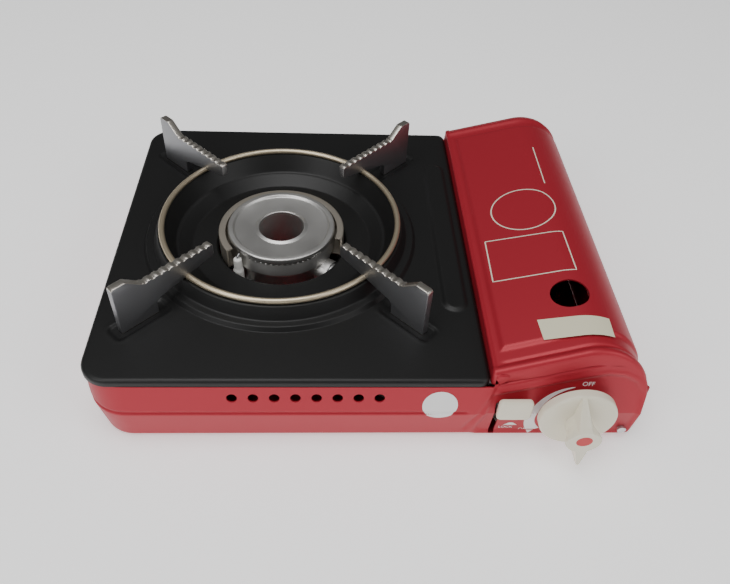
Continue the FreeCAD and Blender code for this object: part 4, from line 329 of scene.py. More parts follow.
def slab(
    name: str,
    outlines: list[np.ndarray],
    low: float,
    high: float,
    bevel: float,
    place: Matrix,
    sharp: float = 50,
) -> bpy.types.Object:
    """A flat piece with softened edges, cut to outlines.

    Args:
        name: the object's name.
        outlines: the outer line first, then any holes, as (u, v) points in millimetres.
        low: the lower face's height along the piece's own Z.
        high: the upper face's height.
        bevel: how far the edges are rounded.
        place: the piece's place, in millimetres.
        sharp: the bend in degrees above which an edge is shaded sharp.

    Returns:
        The piece.
    """
    curve = bpy.data.curves.new(name, "CURVE")
    curve.dimensions = "2D"
    curve.fill_mode = "BOTH"
    curve.extrude = (high - low) / 2 - bevel
    curve.bevel_depth = bevel
    curve.bevel_resolution = 2
    curve.offset = -bevel
    for line in outlines:
        spline = curve.splines.new("POLY")
        spline.points.add(len(line) - 1)
        rows = np.column_stack([line, np.zeros(len(line)), np.ones(len(line))])
        spline.points.foreach_set("co", rows.ravel())
        spline.use_cyclic_u = True
    holder = bpy.data.objects.new(name, curve)
    bpy.context.scene.collection.objects.link(holder)
    bpy.context.view_layer.update()
    mesh = bpy.data.meshes.new_from_object(holder.evaluated_get(bpy.context.evaluated_depsgraph_get()))
    bpy.data.objects.remove(holder)
    mesh.transform(Matrix.Scale(MM, 4) @ place @ Matrix.Translation((0, 0, (low + high) / 2)))
    mark_sharp(mesh, sharp)
    obj = bpy.data.objects.new(name, mesh)
    bpy.context.scene.collection.objects.link(obj)
    return obj


def joined(name: str, pieces: list[bpy.types.Object], sharp: float = 40) -> bpy.types.Object:
    """Makes one object out of several."""
    data = bmesh.new()
    for piece in pieces:
        data.from_mesh(piece.data)
    mesh = bpy.data.meshes.new(name)
    data.to_mesh(mesh)
    data.free()
    mark_sharp(mesh, sharp)
    for piece in pieces:
        bpy.data.objects.remove(piece)
    obj = bpy.data.objects.new(name, mesh)
    bpy.context.scene.collection.objects.link(obj)
    return obj


def stand_for(
    obj: bpy.types.Object, body: Body, material: bpy.types.Material, slot: str, *nodes: str
) -> bpy.types.Object:
    """Makes a piece ride with its body, in its finish, in place of its frame nodes.

    Args:
        obj: the piece.
        body: what it moves with.
        material: its finish.
        slot: the record's material slot; not used.
        nodes: the frame nodes that it stands for.

    Returns:
        The piece.
    """
    obj.data.materials.clear()
    obj.data.materials.append(material)
    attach(obj, body.value)
    if nodes:
        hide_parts(*nodes)
    LOG.info("%s: %d faces", obj.name, len(obj.data.polygons))
    return obj


# Finishes


def new_group(name: str, inputs: dict[str, float], outputs: dict[str, str]) -> bpy.types.NodeTree:
    """Makes an empty shader group with float inputs and named outputs."""
    group = bpy.data.node_groups.new(name, "ShaderNodeTree")
    for label, default in inputs.items():
        socket = group.interface.new_socket(label, in_out="INPUT", socket_type="NodeSocketFloat")
        socket.default_value = default
    for label, kind in outputs.items():
        group.interface.new_socket(label, in_out="OUTPUT", socket_type=kind)
    return group


def math_node(tree: bpy.types.NodeTree, operation: str, *values: object) -> bpy.types.NodeSocket:
    """Adds a math node whose inputs are numbers or sockets, and gives its output."""
    node = tree.nodes.new("ShaderNodeMath")
    node.operation = operation
    for socket, value in zip(node.inputs, values):
        if isinstance(value, bpy.types.NodeSocket):
            tree.links.new(value, socket)
        else:
            socket.default_value = value
    return node.outputs[0]


def noise_node(
    tree: bpy.types.NodeTree, place: bpy.types.NodeSocket, scale: object, detail: float = 3
) -> bpy.types.NodeSocket:
    """Adds a noise texture and gives its value."""
    node = tree.nodes.new("ShaderNodeTexNoise")
    node.inputs["Detail"].default_value = detail
    tree.links.new(place, node.inputs["Vector"])
    if isinstance(scale, bpy.types.NodeSocket):
        tree.links.new(scale, node.inputs["Scale"])
    else:
        node.inputs["Scale"].default_value = scale
    return node.outputs[0]


def paint_skin_group() -> bpy.types.NodeTree:
    """The faint ripple, tone and dust of a sprayed or enamelled skin."""
    group = new_group(
        "paint_skin",
        {"Ripple Scale": 220.0, "Cloud Scale": 14.0, "Dust": 0.3},
        {"Height": "NodeSocketFloat", "Tone": "NodeSocketFloat", "Dust Mask": "NodeSocketFloat"},
    )
    nodes, links = group.nodes, group.links
    start, end = nodes.new("NodeGroupInput"), nodes.new("NodeGroupOutput")
    place = nodes.new("ShaderNodeTexCoord").outputs["Object"]
    ripple = noise_node(group, place, start.outputs["Ripple Scale"], 2)
    cloud = noise_node(group, place, start.outputs["Cloud Scale"], 4)
    speck = noise_node(group, place, 900.0, 2)
    spot = math_node(group, "GREATER_THAN", speck, 0.72)
    links.new(ripple, end.inputs["Height"])
    links.new(cloud, end.inputs["Tone"])
    links.new(math_node(group, "MULTIPLY", spot, start.outputs["Dust"]), end.inputs["Dust Mask"])
    return group


def metal_grain_group() -> bpy.types.NodeTree:
    """Fine brush lines or casting grain, with a mask of handling marks."""
    group = new_group(
        "metal_grain",
        {"Grain Scale": 900.0, "Stretch": 1.0, "Mark Scale": 60.0},
        {"Height": "NodeSocketFloat", "Tone": "NodeSocketFloat", "Marks": "NodeSocketFloat"},
    )
    nodes, links = group.nodes, group.links
    start, end = nodes.new("NodeGroupInput"), nodes.new("NodeGroupOutput")
    place = nodes.new("ShaderNodeTexCoord").outputs["Object"]
    split = nodes.new("ShaderNodeSeparateXYZ")
    links.new(place, split.inputs[0])
    joinup = nodes.new("ShaderNodeCombineXYZ")
    links.new(math_node(group, "DIVIDE", split.outputs[0], start.outputs["Stretch"]), joinup.inputs[0])
    links.new(split.outputs[1], joinup.inputs[1])
    links.new(split.outputs[2], joinup.inputs[2])
    grain = noise_node(group, joinup.outputs[0], start.outputs["Grain Scale"], 4)
    marks = noise_node(group, place, start.outputs["Mark Scale"], 5)
    links.new(grain, end.inputs["Height"])
    links.new(noise_node(group, place, 35.0, 3), end.inputs["Tone"])
    ramp = nodes.new("ShaderNodeMapRange")
    ramp.inputs["From Min"].default_value = 0.5
    ramp.inputs["From Max"].default_value = 0.75
    links.new(marks, ramp.inputs["Value"])
    links.new(ramp.outputs[0], end.inputs["Marks"])
    return group


@dataclass(frozen=True)
class Finish:
    """A procedural finish: its colours, gloss and surface detail."""

    name: str
    slot: str
    colour: tuple[float, float, float]
    second: tuple[float, float, float]
    roughness: float = 0.4
    spread: float = 0.1
    metallic: float = 0.0
    coat: float = 0.0
    coat_roughness: float = 0.05
    bump: float = 0.05
    group: str = "paint_skin"
    values: dict = field(default_factory=dict)
    distance: float = 0.0002
    specular: float = 0.5

    def material(self) -> bpy.types.Material:
        """Builds the finish's material once and gives it."""
        found = bpy.data.materials.get(self.name)
        if found:
            return found
        mat = bpy.data.materials.new(self.name)
        mat.use_nodes = True
        tree = mat.node_tree
        shader = tree.nodes["Principled BSDF"]
        detail = tree.nodes.new("ShaderNodeGroup")
        detail.node_tree = bpy.data.node_groups.get(self.group) or GROUPS[self.group]()
        for label, value in self.values.items():
            detail.inputs[label].default_value = value
        mix = tree.nodes.new("ShaderNodeMix")
        mix.data_type = "RGBA"
        mix.inputs[6].default_value = (*self.colour, 1)
        mix.inputs[7].default_value = (*self.second, 1)
        tree.links.new(detail.outputs["Tone"], mix.inputs[0])
        tree.links.new(mix.outputs[2], shader.inputs["Base Color"])
        rough = tree.nodes.new("ShaderNodeMapRange")
        rough.inputs["To Min"].default_value = max(0.02, self.roughness - self.spread / 2)
        rough.inputs["To Max"].default_value = self.roughness + self.spread / 2
        tree.links.new(detail.outputs["Tone"], rough.inputs["Value"])
        tree.links.new(rough.outputs[0], shader.inputs["Roughness"])
        bump = tree.nodes.new("ShaderNodeBump")
        bump.inputs["Strength"].default_value = self.bump
        bump.inputs["Distance"].default_value = self.distance
        tree.links.new(detail.outputs["Height"], bump.inputs["Height"])
        tree.links.new(bump.outputs[0], shader.inputs["Normal"])
        shader.inputs["Metallic"].default_value = self.metallic
        shader.inputs["Specular IOR Level"].default_value = self.specular
        shader.inputs["Coat Weight"].default_value = self.coat
        shader.inputs["Coat Roughness"].default_value = self.coat_roughness
        return mat


GROUPS = {"paint_skin": paint_skin_group, "metal_grain": metal_grain_group}

RED = Finish(
    "red_enamel", "red_enamel", (0.30, 0.0065, 0.0135), (0.35, 0.009, 0.018),
    0.32, 0.06, 0, 0.3, 0.08, 0.06, specular=0.35,
)
BLACK = Finish(
    "black_enamel", "black_enamel", (0.0055, 0.0034, 0.0029), (0.009, 0.0054, 0.0042),
    0.3, 0.08, 0, 0.2, 0.1, 0.06, specular=0.3,
)
ZINC = Finish(
    "zinc_sheet", "galvanised", (0.5, 0.5, 0.51), (0.6, 0.6, 0.6),
    0.42, 0.16, 1.0, bump=0.1, group="metal_grain",
)
CAST = Finish(
    "burner_cast", "burner_alloy", (0.62, 0.61, 0.59), (0.78, 0.77, 0.75),
    0.42, 0.2, 1.0, bump=0.25, group="metal_grain", values={"Grain Scale": 1400.0},
)
GUARD = Finish(
    "guard_steel", "guard_steel", (0.56, 0.54, 0.50), (0.68, 0.66, 0.62),
    0.36, 0.14, 1.0, bump=0.1, group="metal_grain",
)
CERAMIC = Finish("ceramic", "ceramic", (0.9, 0.9, 0.88), (0.95, 0.95, 0.93), 0.5, 0.1, 0, bump=0.1)
BRIGHT = Finish(
    "bright_steel", "bright_steel", (0.6, 0.6, 0.61), (0.7, 0.7, 0.7),
    0.25, 0.1, 1.0, bump=0.05, group="metal_grain",
)
LEAD = Finish("lead_rubber", "lead_rubber", (0.62, 0.6, 0.54), (0.7, 0.68, 0.62), 0.6, 0.1, 0, bump=0.1)
DARK = Finish("dark_plastic", "dark_plastic", (0.02, 0.02, 0.022), (0.03, 0.03, 0.032), 0.5, 0.1, 0, bump=0.1)
BRASS = Finish(
    "brass", "brass", (0.62, 0.42, 0.17), (0.72, 0.52, 0.24),
    0.3, 0.12, 1.0, bump=0.06, group="metal_grain",
)
DIECAST = Finish(
    "regulator_cast", "regulator_alloy", (0.5, 0.5, 0.5), (0.62, 0.62, 0.62),
    0.45, 0.15, 1.0, bump=0.2, group="metal_grain",
)
SEAL = Finish("seal_rubber", "seal_rubber", (0.012, 0.012, 0.012), (0.02, 0.02, 0.02), 0.7, 0.1, 0, bump=0.1)
FOOT = Finish("foot_rubber", "foot_rubber", (0.02, 0.02, 0.02), (0.035, 0.035, 0.034), 0.75, 0.1, 0, bump=0.2)
PALE = Finish(
    "pale_steel", "pale_steel", (0.7, 0.74, 0.8), (0.8, 0.83, 0.87),
    0.3, 0.1, 1.0, bump=0.04, group="metal_grain",
)
WIRE = Finish(
    "champagne_wire", "champagne_wire", (0.34, 0.28, 0.205), (0.45, 0.38, 0.29),
    0.28, 0.14, 1.0, bump=0.05, group="metal_grain",
)
SUPPORT = Finish(
    "support_steel", "support_steel", (0.24, 0.24, 0.245), (0.32, 0.32, 0.325),
    0.42, 0.14, 0.85, bump=0.12, group="metal_grain", values={"Grain Scale": 1600.0},
)
WORN = Finish(
    "worn_edge", "support_steel", (0.6, 0.56, 0.5), (0.74, 0.7, 0.64),
    0.3, 0.15, 1.0, bump=0.1, group="metal_grain",
)
IVORY = Finish(
    "ivory_plastic", "ivory_plastic", (0.90, 0.745, 0.47), (0.95, 0.81, 0.55),
    0.32, 0.08, 0, 0.2, 0.1, 0.03,
)
PRINT = Finish("cream_print", "red_enamel", (0.82, 0.74, 0.6), (0.88, 0.82, 0.7), 0.45, 0.06, 0, bump=0.02)
WHITE_INK = Finish("white_ink", "red_enamel", (0.86, 0.86, 0.85), (0.9, 0.9, 0.9), 0.45, 0.06, 0, bump=0.02)
RED_INK = Finish(
    "red_ink", "ivory_plastic", (0.55, 0.008, 0.012), (0.6, 0.012, 0.018),
    0.4, 0.06, 0, bump=0.02,
)
LABEL = Finish("label_paper", "red_enamel", (0.74, 0.70, 0.50), (0.82, 0.78, 0.58), 0.5, 0.1, 0, bump=0.05)


# Sub-assemblies


@dataclass
class TopPlate:
    """The black plate: its collar and bowl, its foot channels and its long bead."""

    centre: tuple[float, float] = (-57.3, 15.0)
    left: float = -170.0
    right: float = 73.0
    front: float = -118.3
    rear: float = 146.7
    top: float = 54.0
    rim: float = 49.05
    left_corner: float = 18.0
    right_corner: float = 6.0
    edge_roll: float = 2.6
    join_radius: float = 95.8
    channel: tuple[float, float, float] = (98.5, 139.0, 15.0)
    bead: tuple[float, float, float, float] = (50.0, 67.5, -61.5, 101.5)
    rays: int = 1440

    def edge(self) -> tuple[np.ndarray, np.ndarray]:
        """Where each ray from the burner meets the inset outline, and the outline's normal there."""
        roll = self.edge_roll
        cx, cy = self.centre
        angles = np.linspace(0, 2 * math.pi, self.rays, endpoint=False)
        line = rounded(
            [
                (self.left + roll, self.front + roll, self.left_corner - roll),
                (self.right - roll, self.front + roll, self.right_corner - roll),
                (self.right - roll, self.rear - roll, self.right_corner - roll),
                (self.left + roll, self.rear - roll, self.left_corner - roll),
            ],
            16,
            True,
        )
        line = line - np.array(self.centre)
        bearing = np.unwrap(np.arctan2(line[:, 1], line[:, 0]))
        order = np.argsort(bearing % (2 * math.pi))
        line, bearing = line[order], (bearing % (2 * math.pi))[order]
        line = np.vstack([line[-1:], line, line[:1]])
        bearing = np.concatenate([[bearing[-1] - 2 * math.pi], bearing, [bearing[0] + 2 * math.pi]])
        points = np.zeros((self.rays, 2))
        normals = np.zeros((self.rays, 2))
        for i, angle in enumerate(angles):
            k = int(np.clip(np.searchsorted(bearing, angle) - 1, 0, len(line) - 2))
            a, b = line[k], line[k + 1]
            ray = np.array([math.cos(angle), math.sin(angle)])
            along = b - a
            t = (a[0] * along[1] - a[1] * along[0]) / (ray[0] * along[1] - ray[1] * along[0])
            points[i] = ray * t
            normals[i] = np.array([along[1], -along[0]]) / np.linalg.norm(along)
        smoothed = normals + np.roll(normals, 1, 0) + np.roll(normals, -1, 0)
        normals = smoothed / np.linalg.norm(smoothed, axis=1)[:, None]
        return points + np.array([cx, cy]), normals

    def relief(self, x: np.ndarray, y: np.ndarray) -> np.ndarray:
        """Height above the flat of the plate."""
        inner, outer, width = self.channel
        ux, uy = np.abs(x - self.centre[0]), np.abs(y - self.centre[1])
        along, across = (ux + uy) / math.sqrt(2), np.abs(ux - uy) / math.sqrt(2)
        radius = 4.0
        du = np.abs(along - (inner + outer) / 2) - (outer - inner) / 2 + radius
        dv = across - width / 2 + radius
        apart = np.hypot(np.maximum(du, 0), np.maximum(dv, 0)) + np.minimum(np.maximum(du, dv), 0) - radius
        height = -1.0 * (1 - smooth(-2.2, 0.4, apart)) + 0.12 * np.exp(-(((apart - 1.0) / 1.4) ** 2))
        left, right, front, rear = self.bead
        radius = (right - left) / 2
        spine = np.clip(y, front + radius, rear - radius)
        away = radius - np.hypot(x - (left + right) / 2, y - spine)
        height += 1.55 * smooth(-0.3, 3.4, away)
        return height

    def build(self) -> None:
        """Makes the plate and its collar."""
        edge, normals = self.edge()
        angles = np.linspace(0, 2 * math.pi, self.rays, endpoint=False)
        start = np.stack([np.cos(angles), np.sin(angles)], axis=-1) * self.join_radius + np.array(self.centre)
        rows = []
        steps = np.concatenate([[0, 0.004, 0.01], np.linspace(0.02, 1, 64)])
        for t in steps:
            flat = start + (edge - start) * t
            rows.append(np.column_stack([flat, self.top + self.relief(flat[:, 0], flat[:, 1])]))
        last = rows[-1][:, 2]
        for angle in np.radians([15, 30, 45, 60, 75, 90]):
            flat = edge + normals * self.edge_roll * math.sin(angle)
            rows.append(np.column_stack([flat, last - self.edge_roll * (1 - math.cos(angle))]))
        rows.append(np.column_stack([flat, np.full(self.rays, self.rim)]))
        rows.append(np.column_stack([flat - normals * 0.9, np.full(self.rays, self.rim)]))
        rows.append(np.column_stack([flat - normals * 1.0, np.full(self.rays, self.top - 2.6)]))
        skirt = grid_object("plate_flat", np.array(rows), True, 60)
        profile = rounded(
            [
                (self.join_radius, 54.0),
                (95.0, 54.0, 0.6),
                (93.0, 57.0, 1.0),
                (88.2, 57.1, 1.3),
                (84.5, 66.0, 1.3),
                (80.5, 66.0, 1.5),
                (73.5, 54.2, 2.2),
                (71.5, 53.6, 1.5),
                (63.0, 48.0, 3.0),
                (46.2, 48.0, 1.0),
                (45.0, 46.4),
            ],
            8,
        )
        bowl = lathe("plate_bowl", divided(profile, 3.0), self.centre, self.rays // 2, closed=False, sharp=60)
        plate = joined("top_plate_skin", [skirt, bowl], 60)
        stand_for(plate, Body.BASE, BLACK.material(), BLACK.slot, "top_plate")


@dataclass
class Tub:
    """The red tub with its front and rear panels."""

    floor: float = 2.0
    rim: float = 49.0
    corner: float = 26.0
    toe: float = 3.5
    side_toe: float = 5.0
    bottom_roll: float = 2.5
    panel_inset: float = 10.3
    panel_corner: float = 25.0
    edge_roll: float = 1.6
    vents: tuple[float, float, float] = (-80.7, 40.8, 12.54)
    shaft: tuple[float, float] = (126.5, 34.5)

    def panel_line(self) -> np.ndarray:
        """The panel's outline under the lid, from the plate round to its lower right corner."""
        drop = self.panel_inset * RISE
        meets = BAY + (self.rim - (LID_LEFT - drop)) / SLOPE
        corner_z = lid_height(HALF_WIDTH) - drop
        return rounded([(meets, self.rim), (HALF_WIDTH, corner_z, self.panel_corner), (HALF_WIDTH, 0.0)], 24)

    def top_at(self, x: np.ndarray) -> np.ndarray:
        """Height of the tub's or the panel's top edge."""
        line = self.panel_line()[:-1]
        return np.maximum(self.rim, np.interp(x, line[:, 0], line[:, 1]))

    def panel_relief(self, x: np.ndarray, z: np.ndarray) -> np.ndarray:
        """How far the front's grooves and its inset panel stand back."""
        inset_line = rounded(
            [
                (76.0, 42.6, 3), (107.1, 50.2), (122.7, 54.2), (141.8, 58.4, 6), (152.6, 57.4, 6),
                (160.7, 53.0, 6), (166.0, 45.5, 5), (167.6, 39.0, 6), (167.6, 5.5, 4), (68.0, 5.5, 4),
            ],
            5,
            True,
        )
        away = line_distance(x, z, np.vstack([inset_line, inset_line[:1]]))
        signed = np.where(inside_line(x, z, inset_line), away, -away)
        back = 1.0 * smooth(-1.2, 1.4, signed)
        back -= 0.5 * np.exp(-(((signed + 2.2) / 1.5) ** 2))
        crease = np.array([(-400.0, 29.0), (60.5, 29.0)])
        back += 0.9 * np.exp(-((line_distance(x, z, crease) / 1.1) ** 2))
        slant = np.array([(62.5, 10.0), (63.5, 15.0), (79.5, 52.0)])
        back += 0.9 * np.exp(-((line_distance(x, z, slant) / 1.3) ** 2))
        return back

    def path(self) -> list[tuple[float, float, float, float]]:
        """Columns round the tub: x, y and the wall's outward normal."""
        near = HALF_WIDTH - np.array([0, 0.15, 0.4, 0.8, 1.3, 2, 3, 4.2, 5.6, 7.2, 9])
        along = np.concatenate([near, np.arange(HALF_WIDTH - 10, 60, -1.0), np.arange(59, -144, -1.5)])
        columns = [(x, FRONT, 0.0, -1.0) for x in along]
        middle = -HALF_WIDTH + self.corner
        for angle in np.linspace(-90, -180, 25):
            c, s = math.cos(math.radians(angle)), math.sin(math.radians(angle))
            columns.append((middle + self.corner * c, FRONT + self.corner + self.corner * s, c, s))
        left_side = np.linspace(FRONT + self.corner, REAR - self.corner, 40)[1:-1]
        columns += [(-HALF_WIDTH, y, -1.0, 0.0) for y in left_side]
        for angle in np.linspace(180, 90, 25):
            c, s = math.cos(math.radians(angle)), math.sin(math.radians(angle))
            columns.append((middle + self.corner * c, REAR - self.corner + self.corner * s, c, s))
        back = np.concatenate([np.arange(-143, 60, 6.0), np.arange(60, HALF_WIDTH - 10, 2.0), near[::-1]])
        columns += [(x, REAR, 0.0, 1.0) for x in back]
        return columns

    def wall(self) -> tuple[np.ndarray, np.ndarray]:
        """The outer wall as a grid, and the columns it stands on."""
        columns = np.array(self.path())
        x, y, nx, ny = columns.T
        top = self.top_at(x)
        front = np.clip(-ny, 0, 1)
        bends = np.radians([0, 18, 36, 54, 72, 90])
        low_z = [self.floor + self.bottom_roll * (1 - math.cos(a)) for a in bends]
        low_in = [self.bottom_roll * (1 - math.sin(a)) for a in bends]
        heights = [np.full(len(x), z) for z in low_z] + [np.full(len(x), z) for z in np.arange(6, 26, 1.5)]
        heights += [np.full(len(x), z) for z in np.arange(26, 32.6, 0.4)]
        insets = low_in + [0.0] * (len(heights) - len(low_in))
        share = np.concatenate([np.linspace(0, 0.82, 26), np.linspace(0.82, 1, 16)[1:]])
        heights += [32.8 + (top - 32.8) * t for t in share]
        insets += [0.0] * len(share)
        outline = self.panel_line()
        rows = []
        for z, inset in zip(heights, insets):
            below = np.clip((CREASE - z) / (CREASE - self.floor), 0, 1)
            lean = LEAN * np.maximum(z - CREASE, 0)
            dx = -nx * (self.side_toe * below + inset)
            dy = -ny * inset + front * (self.toe * below + lean)
            relief = self.panel_relief(x, z) * front
            side = self.panel_relief(np.full(len(x), -300.0), z) * np.abs(nx) * (ny < 0.5)
            away = line_distance(x, z, outline)
            edge = np.where((np.abs(ny) > 0.99) & (x > 75), np.maximum(self.edge_roll - away, 0), 0)
            roll = self.edge_roll - np.sqrt(np.maximum(self.edge_roll**2 - edge**2, 0))
            px = x + dx - nx * (relief + side)
            py = y + dy + np.where(ny <= 0, 1, -1) * (np.where(ny < 0, relief, 0) + np.abs(ny) * roll)
            rows.append(np.stack([px, py, z], axis=-1))
        return np.array(rows), columns

    def build(self) -> None:
        """Makes the tub's sheet, its holes and its low side."""
        grid, columns = self.wall()
        rows, count = grid.shape[:2]
        points = grid.reshape(-1, 3)
        faces = grid_faces(rows, count)
        floor = [i for i in range(count) if grid[0, i, 0] <= 165.6]
        faces.append(tuple(floor))
        tub = mesh_object("tub_sheet", points, faces, 60)
        bottom = [p for p in tub.data.polygons if abs(p.center.z - self.floor * MM) < 1e-5]
        if sum(p.normal.z * p.area for p in bottom) > 0:
            tub.data.flip_normals()
        thicken(tub, 1.0, 60)
        first, height, pitch = self.vents
        holes = [(f"vent_cut_{i}", first + pitch * i, height, 3.15) for i in range(8)]
        holes.append(("shaft_cut", *self.shaft, 6))
        start, end = FRONT - 6, FRONT + 12
        cutters = [cylinder(name, (x, start, z), (x, end, z), radius) for name, x, z, radius in holes]
        slot = rounded([(78.2, 3.4, 1.2), (81.8, 3.4, 1.2), (81.8, 36.5, 1.2), (78.2, 36.5, 1.2)], 5, True)
        cutters.append(slab("slot_cut", [slot], -FRONT - 12, -FRONT + 6, 0.0, UPRIGHT))
        tub = carve(tub, cutters, 60)
        side = rounded([(-109.0, 2.6), (134.5, 2.6), (134.5, 24, 3), (-109.0, 24, 3)], 5, True)
        wall = slab("tub_low_side", [side], 164.5, 165.5, 0.3, SIDEWAYS)
        tub = joined("tub_skin", [tub, wall], 60)
        stand_for(tub, Body.BASE, RED.material(), RED.slot, "body_pan")


@dataclass
class Lid:
    """The red lid with its beads, window, turned ends and hinge ears."""

    left: float = 73.5
    foot: float = 49.4
    skirt: float = 13.0
    corner: float = 34.0
    rear: float = 145.5
    end_roll: float = 2.2
    flange: float = 9.5
    window: tuple[float, float, float] = (127.9, -63.3, 12.0)
    hinge: tuple[float, float] = (163.5, 9)
    hinge_hole: float = 2.1

    def section(self) -> tuple[np.ndarray, np.ndarray]:
        """Points and outward normals of the lid's section, in x and z."""
        line = rounded(
            [
                (self.left, self.foot),
                (self.left, LID_LEFT, 2.0),
                (HALF_WIDTH, lid_height(HALF_WIDTH), self.corner),
                (HALF_WIDTH, self.skirt),
            ],
            24,
        )
        line = divided(line, 1.1)
        ahead = np.gradient(line, axis=0)
        normal = np.column_stack([-ahead[:, 1], ahead[:, 0]])
        return line, normal / np.linalg.norm(normal, axis=1)[:, None]

    def relief(
        self, x: np.ndarray, z: np.ndarray, from_front: np.ndarray, from_rear: np.ndarray
    ) -> np.ndarray:
        """Height of the lid's pressed beads, against its highest field."""
        field_edge = smooth(79.0, 82.6, x)
        front_edge = smooth(15.5, 19.5, from_front)
        rear_edge = smooth(15.0, 18.0, from_rear)
        height = -1.5 + 1.5 * np.minimum(np.minimum(field_edge, front_edge), rear_edge)
        height += 1.5 * (1 - smooth(3.2, 6.2, from_front))
        height -= 0.7 * np.exp(-(((from_front - 7.2) / 1.0) ** 2)) * smooth(78, 82, x)
        height += 1.4 * np.exp(-(((from_rear - 6.0) / 3.4) ** 2))
        on_wall = smooth(52, 57, z) + (x > 100)
        return np.where(on_wall > 0.02, height * np.clip(on_wall, 0, 1), 0.0) * np.where(x < 76, 0.3, 1)

    def build(self) -> None:
        """Makes the lid's sheet with its ears."""
        line, normal = self.section()
        x, z = line.T
        edge_y = np.maximum(front_at(z), -116.7)
        start = edge_y + self.end_roll
        end = np.full(len(x), self.rear - self.end_roll)
        middle = np.linspace(0.14, 0.88, 70)[1:-1]
        share = np.concatenate([np.linspace(0, 0.14, 56), middle, np.linspace(0.88, 1, 44)])
        rows = []
        flange = self.flange * smooth(45.0, 62.0, z) + np.where(x < 120, self.flange, 0)
        flange = np.clip(flange, 0, self.flange)
        flange = np.where((x < 74) & (z < 56), 1.0, flange)

        def row(depth: np.ndarray | float, y: np.ndarray | float, lift: np.ndarray | float) -> np.ndarray:
            """A row of points at a depth under the section's line."""
            px = x - normal[:, 0] * depth + normal[:, 0] * lift
            pz = z - normal[:, 1] * depth + normal[:, 1] * lift
            return np.stack([np.minimum(px, HALF_WIDTH), y + 0 * px, pz], axis=-1)

        def lift_at(y: np.ndarray) -> np.ndarray:
            """The beads' height along a row."""
            return self.relief(x, z, y - edge_y, self.rear - y)

        def lean(points: np.ndarray) -> np.ndarray:
            """Lays the front flange on the leaning face."""
            points[:, 1] = np.maximum(front_at(points[:, 2]), -116.7)
            return points

        first = lift_at(start)
        for part in (1.0, 0.66, 0.33):
            rows.append(lean(row(self.end_roll + (flange - self.end_roll).clip(0.2) * part, 0.0, first)))
        for angle in np.radians([90, 72, 54, 36, 18]):
            rolled = row(self.end_roll * (1 - math.cos(angle)), 0.0, first)
            front = np.maximum(front_at(rolled[:, 2]), -116.7)
            rolled[:, 1] = front + self.end_roll * (1 - math.sin(angle))
            rows.append(rolled)
        for t in share:
            y = start + (end - start) * t
            rows.append(row(0.0, y, lift_at(y)))
        last = lift_at(end)
        for angle in np.radians([18, 36, 54, 72, 90]):
            depth = self.end_roll * (1 - math.cos(angle))
            rows.append(row(depth, end + self.end_roll * math.sin(angle), last))
        for part in (0.33, 0.66, 1.0):
            rows.append(row(self.end_roll + (flange - self.end_roll).clip(0.2) * part, self.rear, last))
        lid = grid_object("lid_sheet", np.array(rows), False, 60)
        middle = lid.data.polygons[len(lid.data.polygons) // 2]
        if middle.normal.z < 0:
            lid.data.flip_normals()
        thicken(lid, 1.0, 60)
        wx, wy, wr = self.window
        lid = carve(lid, [cylinder("window_cut", (wx, wy, 50), (wx, wy, 95), wr, 96)], 60)
        ear = rounded(
            [(158.9, 4.4, 4.5), (168.1, 4.4, 4.5), (168.1, 9.5), (169.4, 14.0), (169.4, 24.0), (158.9, 24.0)],
            8,
            True,
        )
        hole = around(self.hinge, self.hinge_hole, 32)
        ears = [
            slab("front_ear", [ear, hole], 115.2, 116.7, 0.3, UPRIGHT),
            slab("rear_ear", [ear, hole], -145.5, -144.0, 0.3, UPRIGHT),
        ]
        lid = joined("lid_skin", [lid, *ears], 60)
        stand_for(lid, Body.LID, RED.material(), RED.slot, "canister_lid")


@dataclass
class PanSupport:
    """The lift-off ring and its four toothed legs."""

    centre: tuple[float, float] = (-57.3, 15.0)
    ring_radius: float = 81.5
    wire: float = 2.0
    height: float = 68.0
    names: tuple[tuple[str, float], ...] = (
        ("support_leg_rear_right", 45),
        ("support_leg_rear_left", 135),
        ("support_leg_front_left", 225),
        ("support_leg_front_right", 315),
    )

    def leg_outline(self) -> np.ndarray:
        """The leg's side, as distance from the burner's axis and height."""
        top: list[tuple] = [(60.0, 82.0, 2.0)]
        for i in range(9):
            middle = 65.6 + 5.6 * i
            for angle in np.radians([-150, -125, -100, -80, -55, -30]):
                top.append((middle + 1.75 * math.cos(angle), 82.875 + 1.75 * math.sin(angle)))
        top += [(113.0, 82.0, 3.0), (123.0, 89.9, 2.6), (132.9, 89.9, 2.2)]
        return rounded(
            [(60.0, 73.0, 1.0), *top, (132.9, 53.02, 0.6), (106.0, 53.02, 0.6), (106.0, 63.0, 4.0)], 6, True
        )

    def build(self) -> None:
        """Makes the ring and the legs."""
        circle = around((self.ring_radius, self.height), self.wire, 20)
        ring = lathe("support_ring_wire", circle, self.centre, 240, sharp=80)
        stand_for(ring, Body.PAN_SUPPORT, WIRE.material(), WIRE.slot, "support_ring")
        outline = self.leg_outline()
        for name, degrees in self.names:
            place = (
                Matrix.Translation((*self.centre, 0))
                @ Matrix.Rotation(math.radians(degrees), 4, "Z")
                @ UPRIGHT
            )
            leg = slab(f"{name}_plate", [outline], -2.5, 2.5, 0.45, place, 50)
            stand_for(leg, Body.PAN_SUPPORT, SUPPORT.material(), SUPPORT.slot, name)
            leg.data.materials.append(WORN.material())
            for face in leg.data.polygons:
                on_top = face.center.z > 0.0805 and face.normal.z > 0.2
                on_foot = face.center.z < 0.0536 or (face.center.z > 0.0625 and face.normal.z < -0.5)
                face.material_index = int(on_top or on_foot)


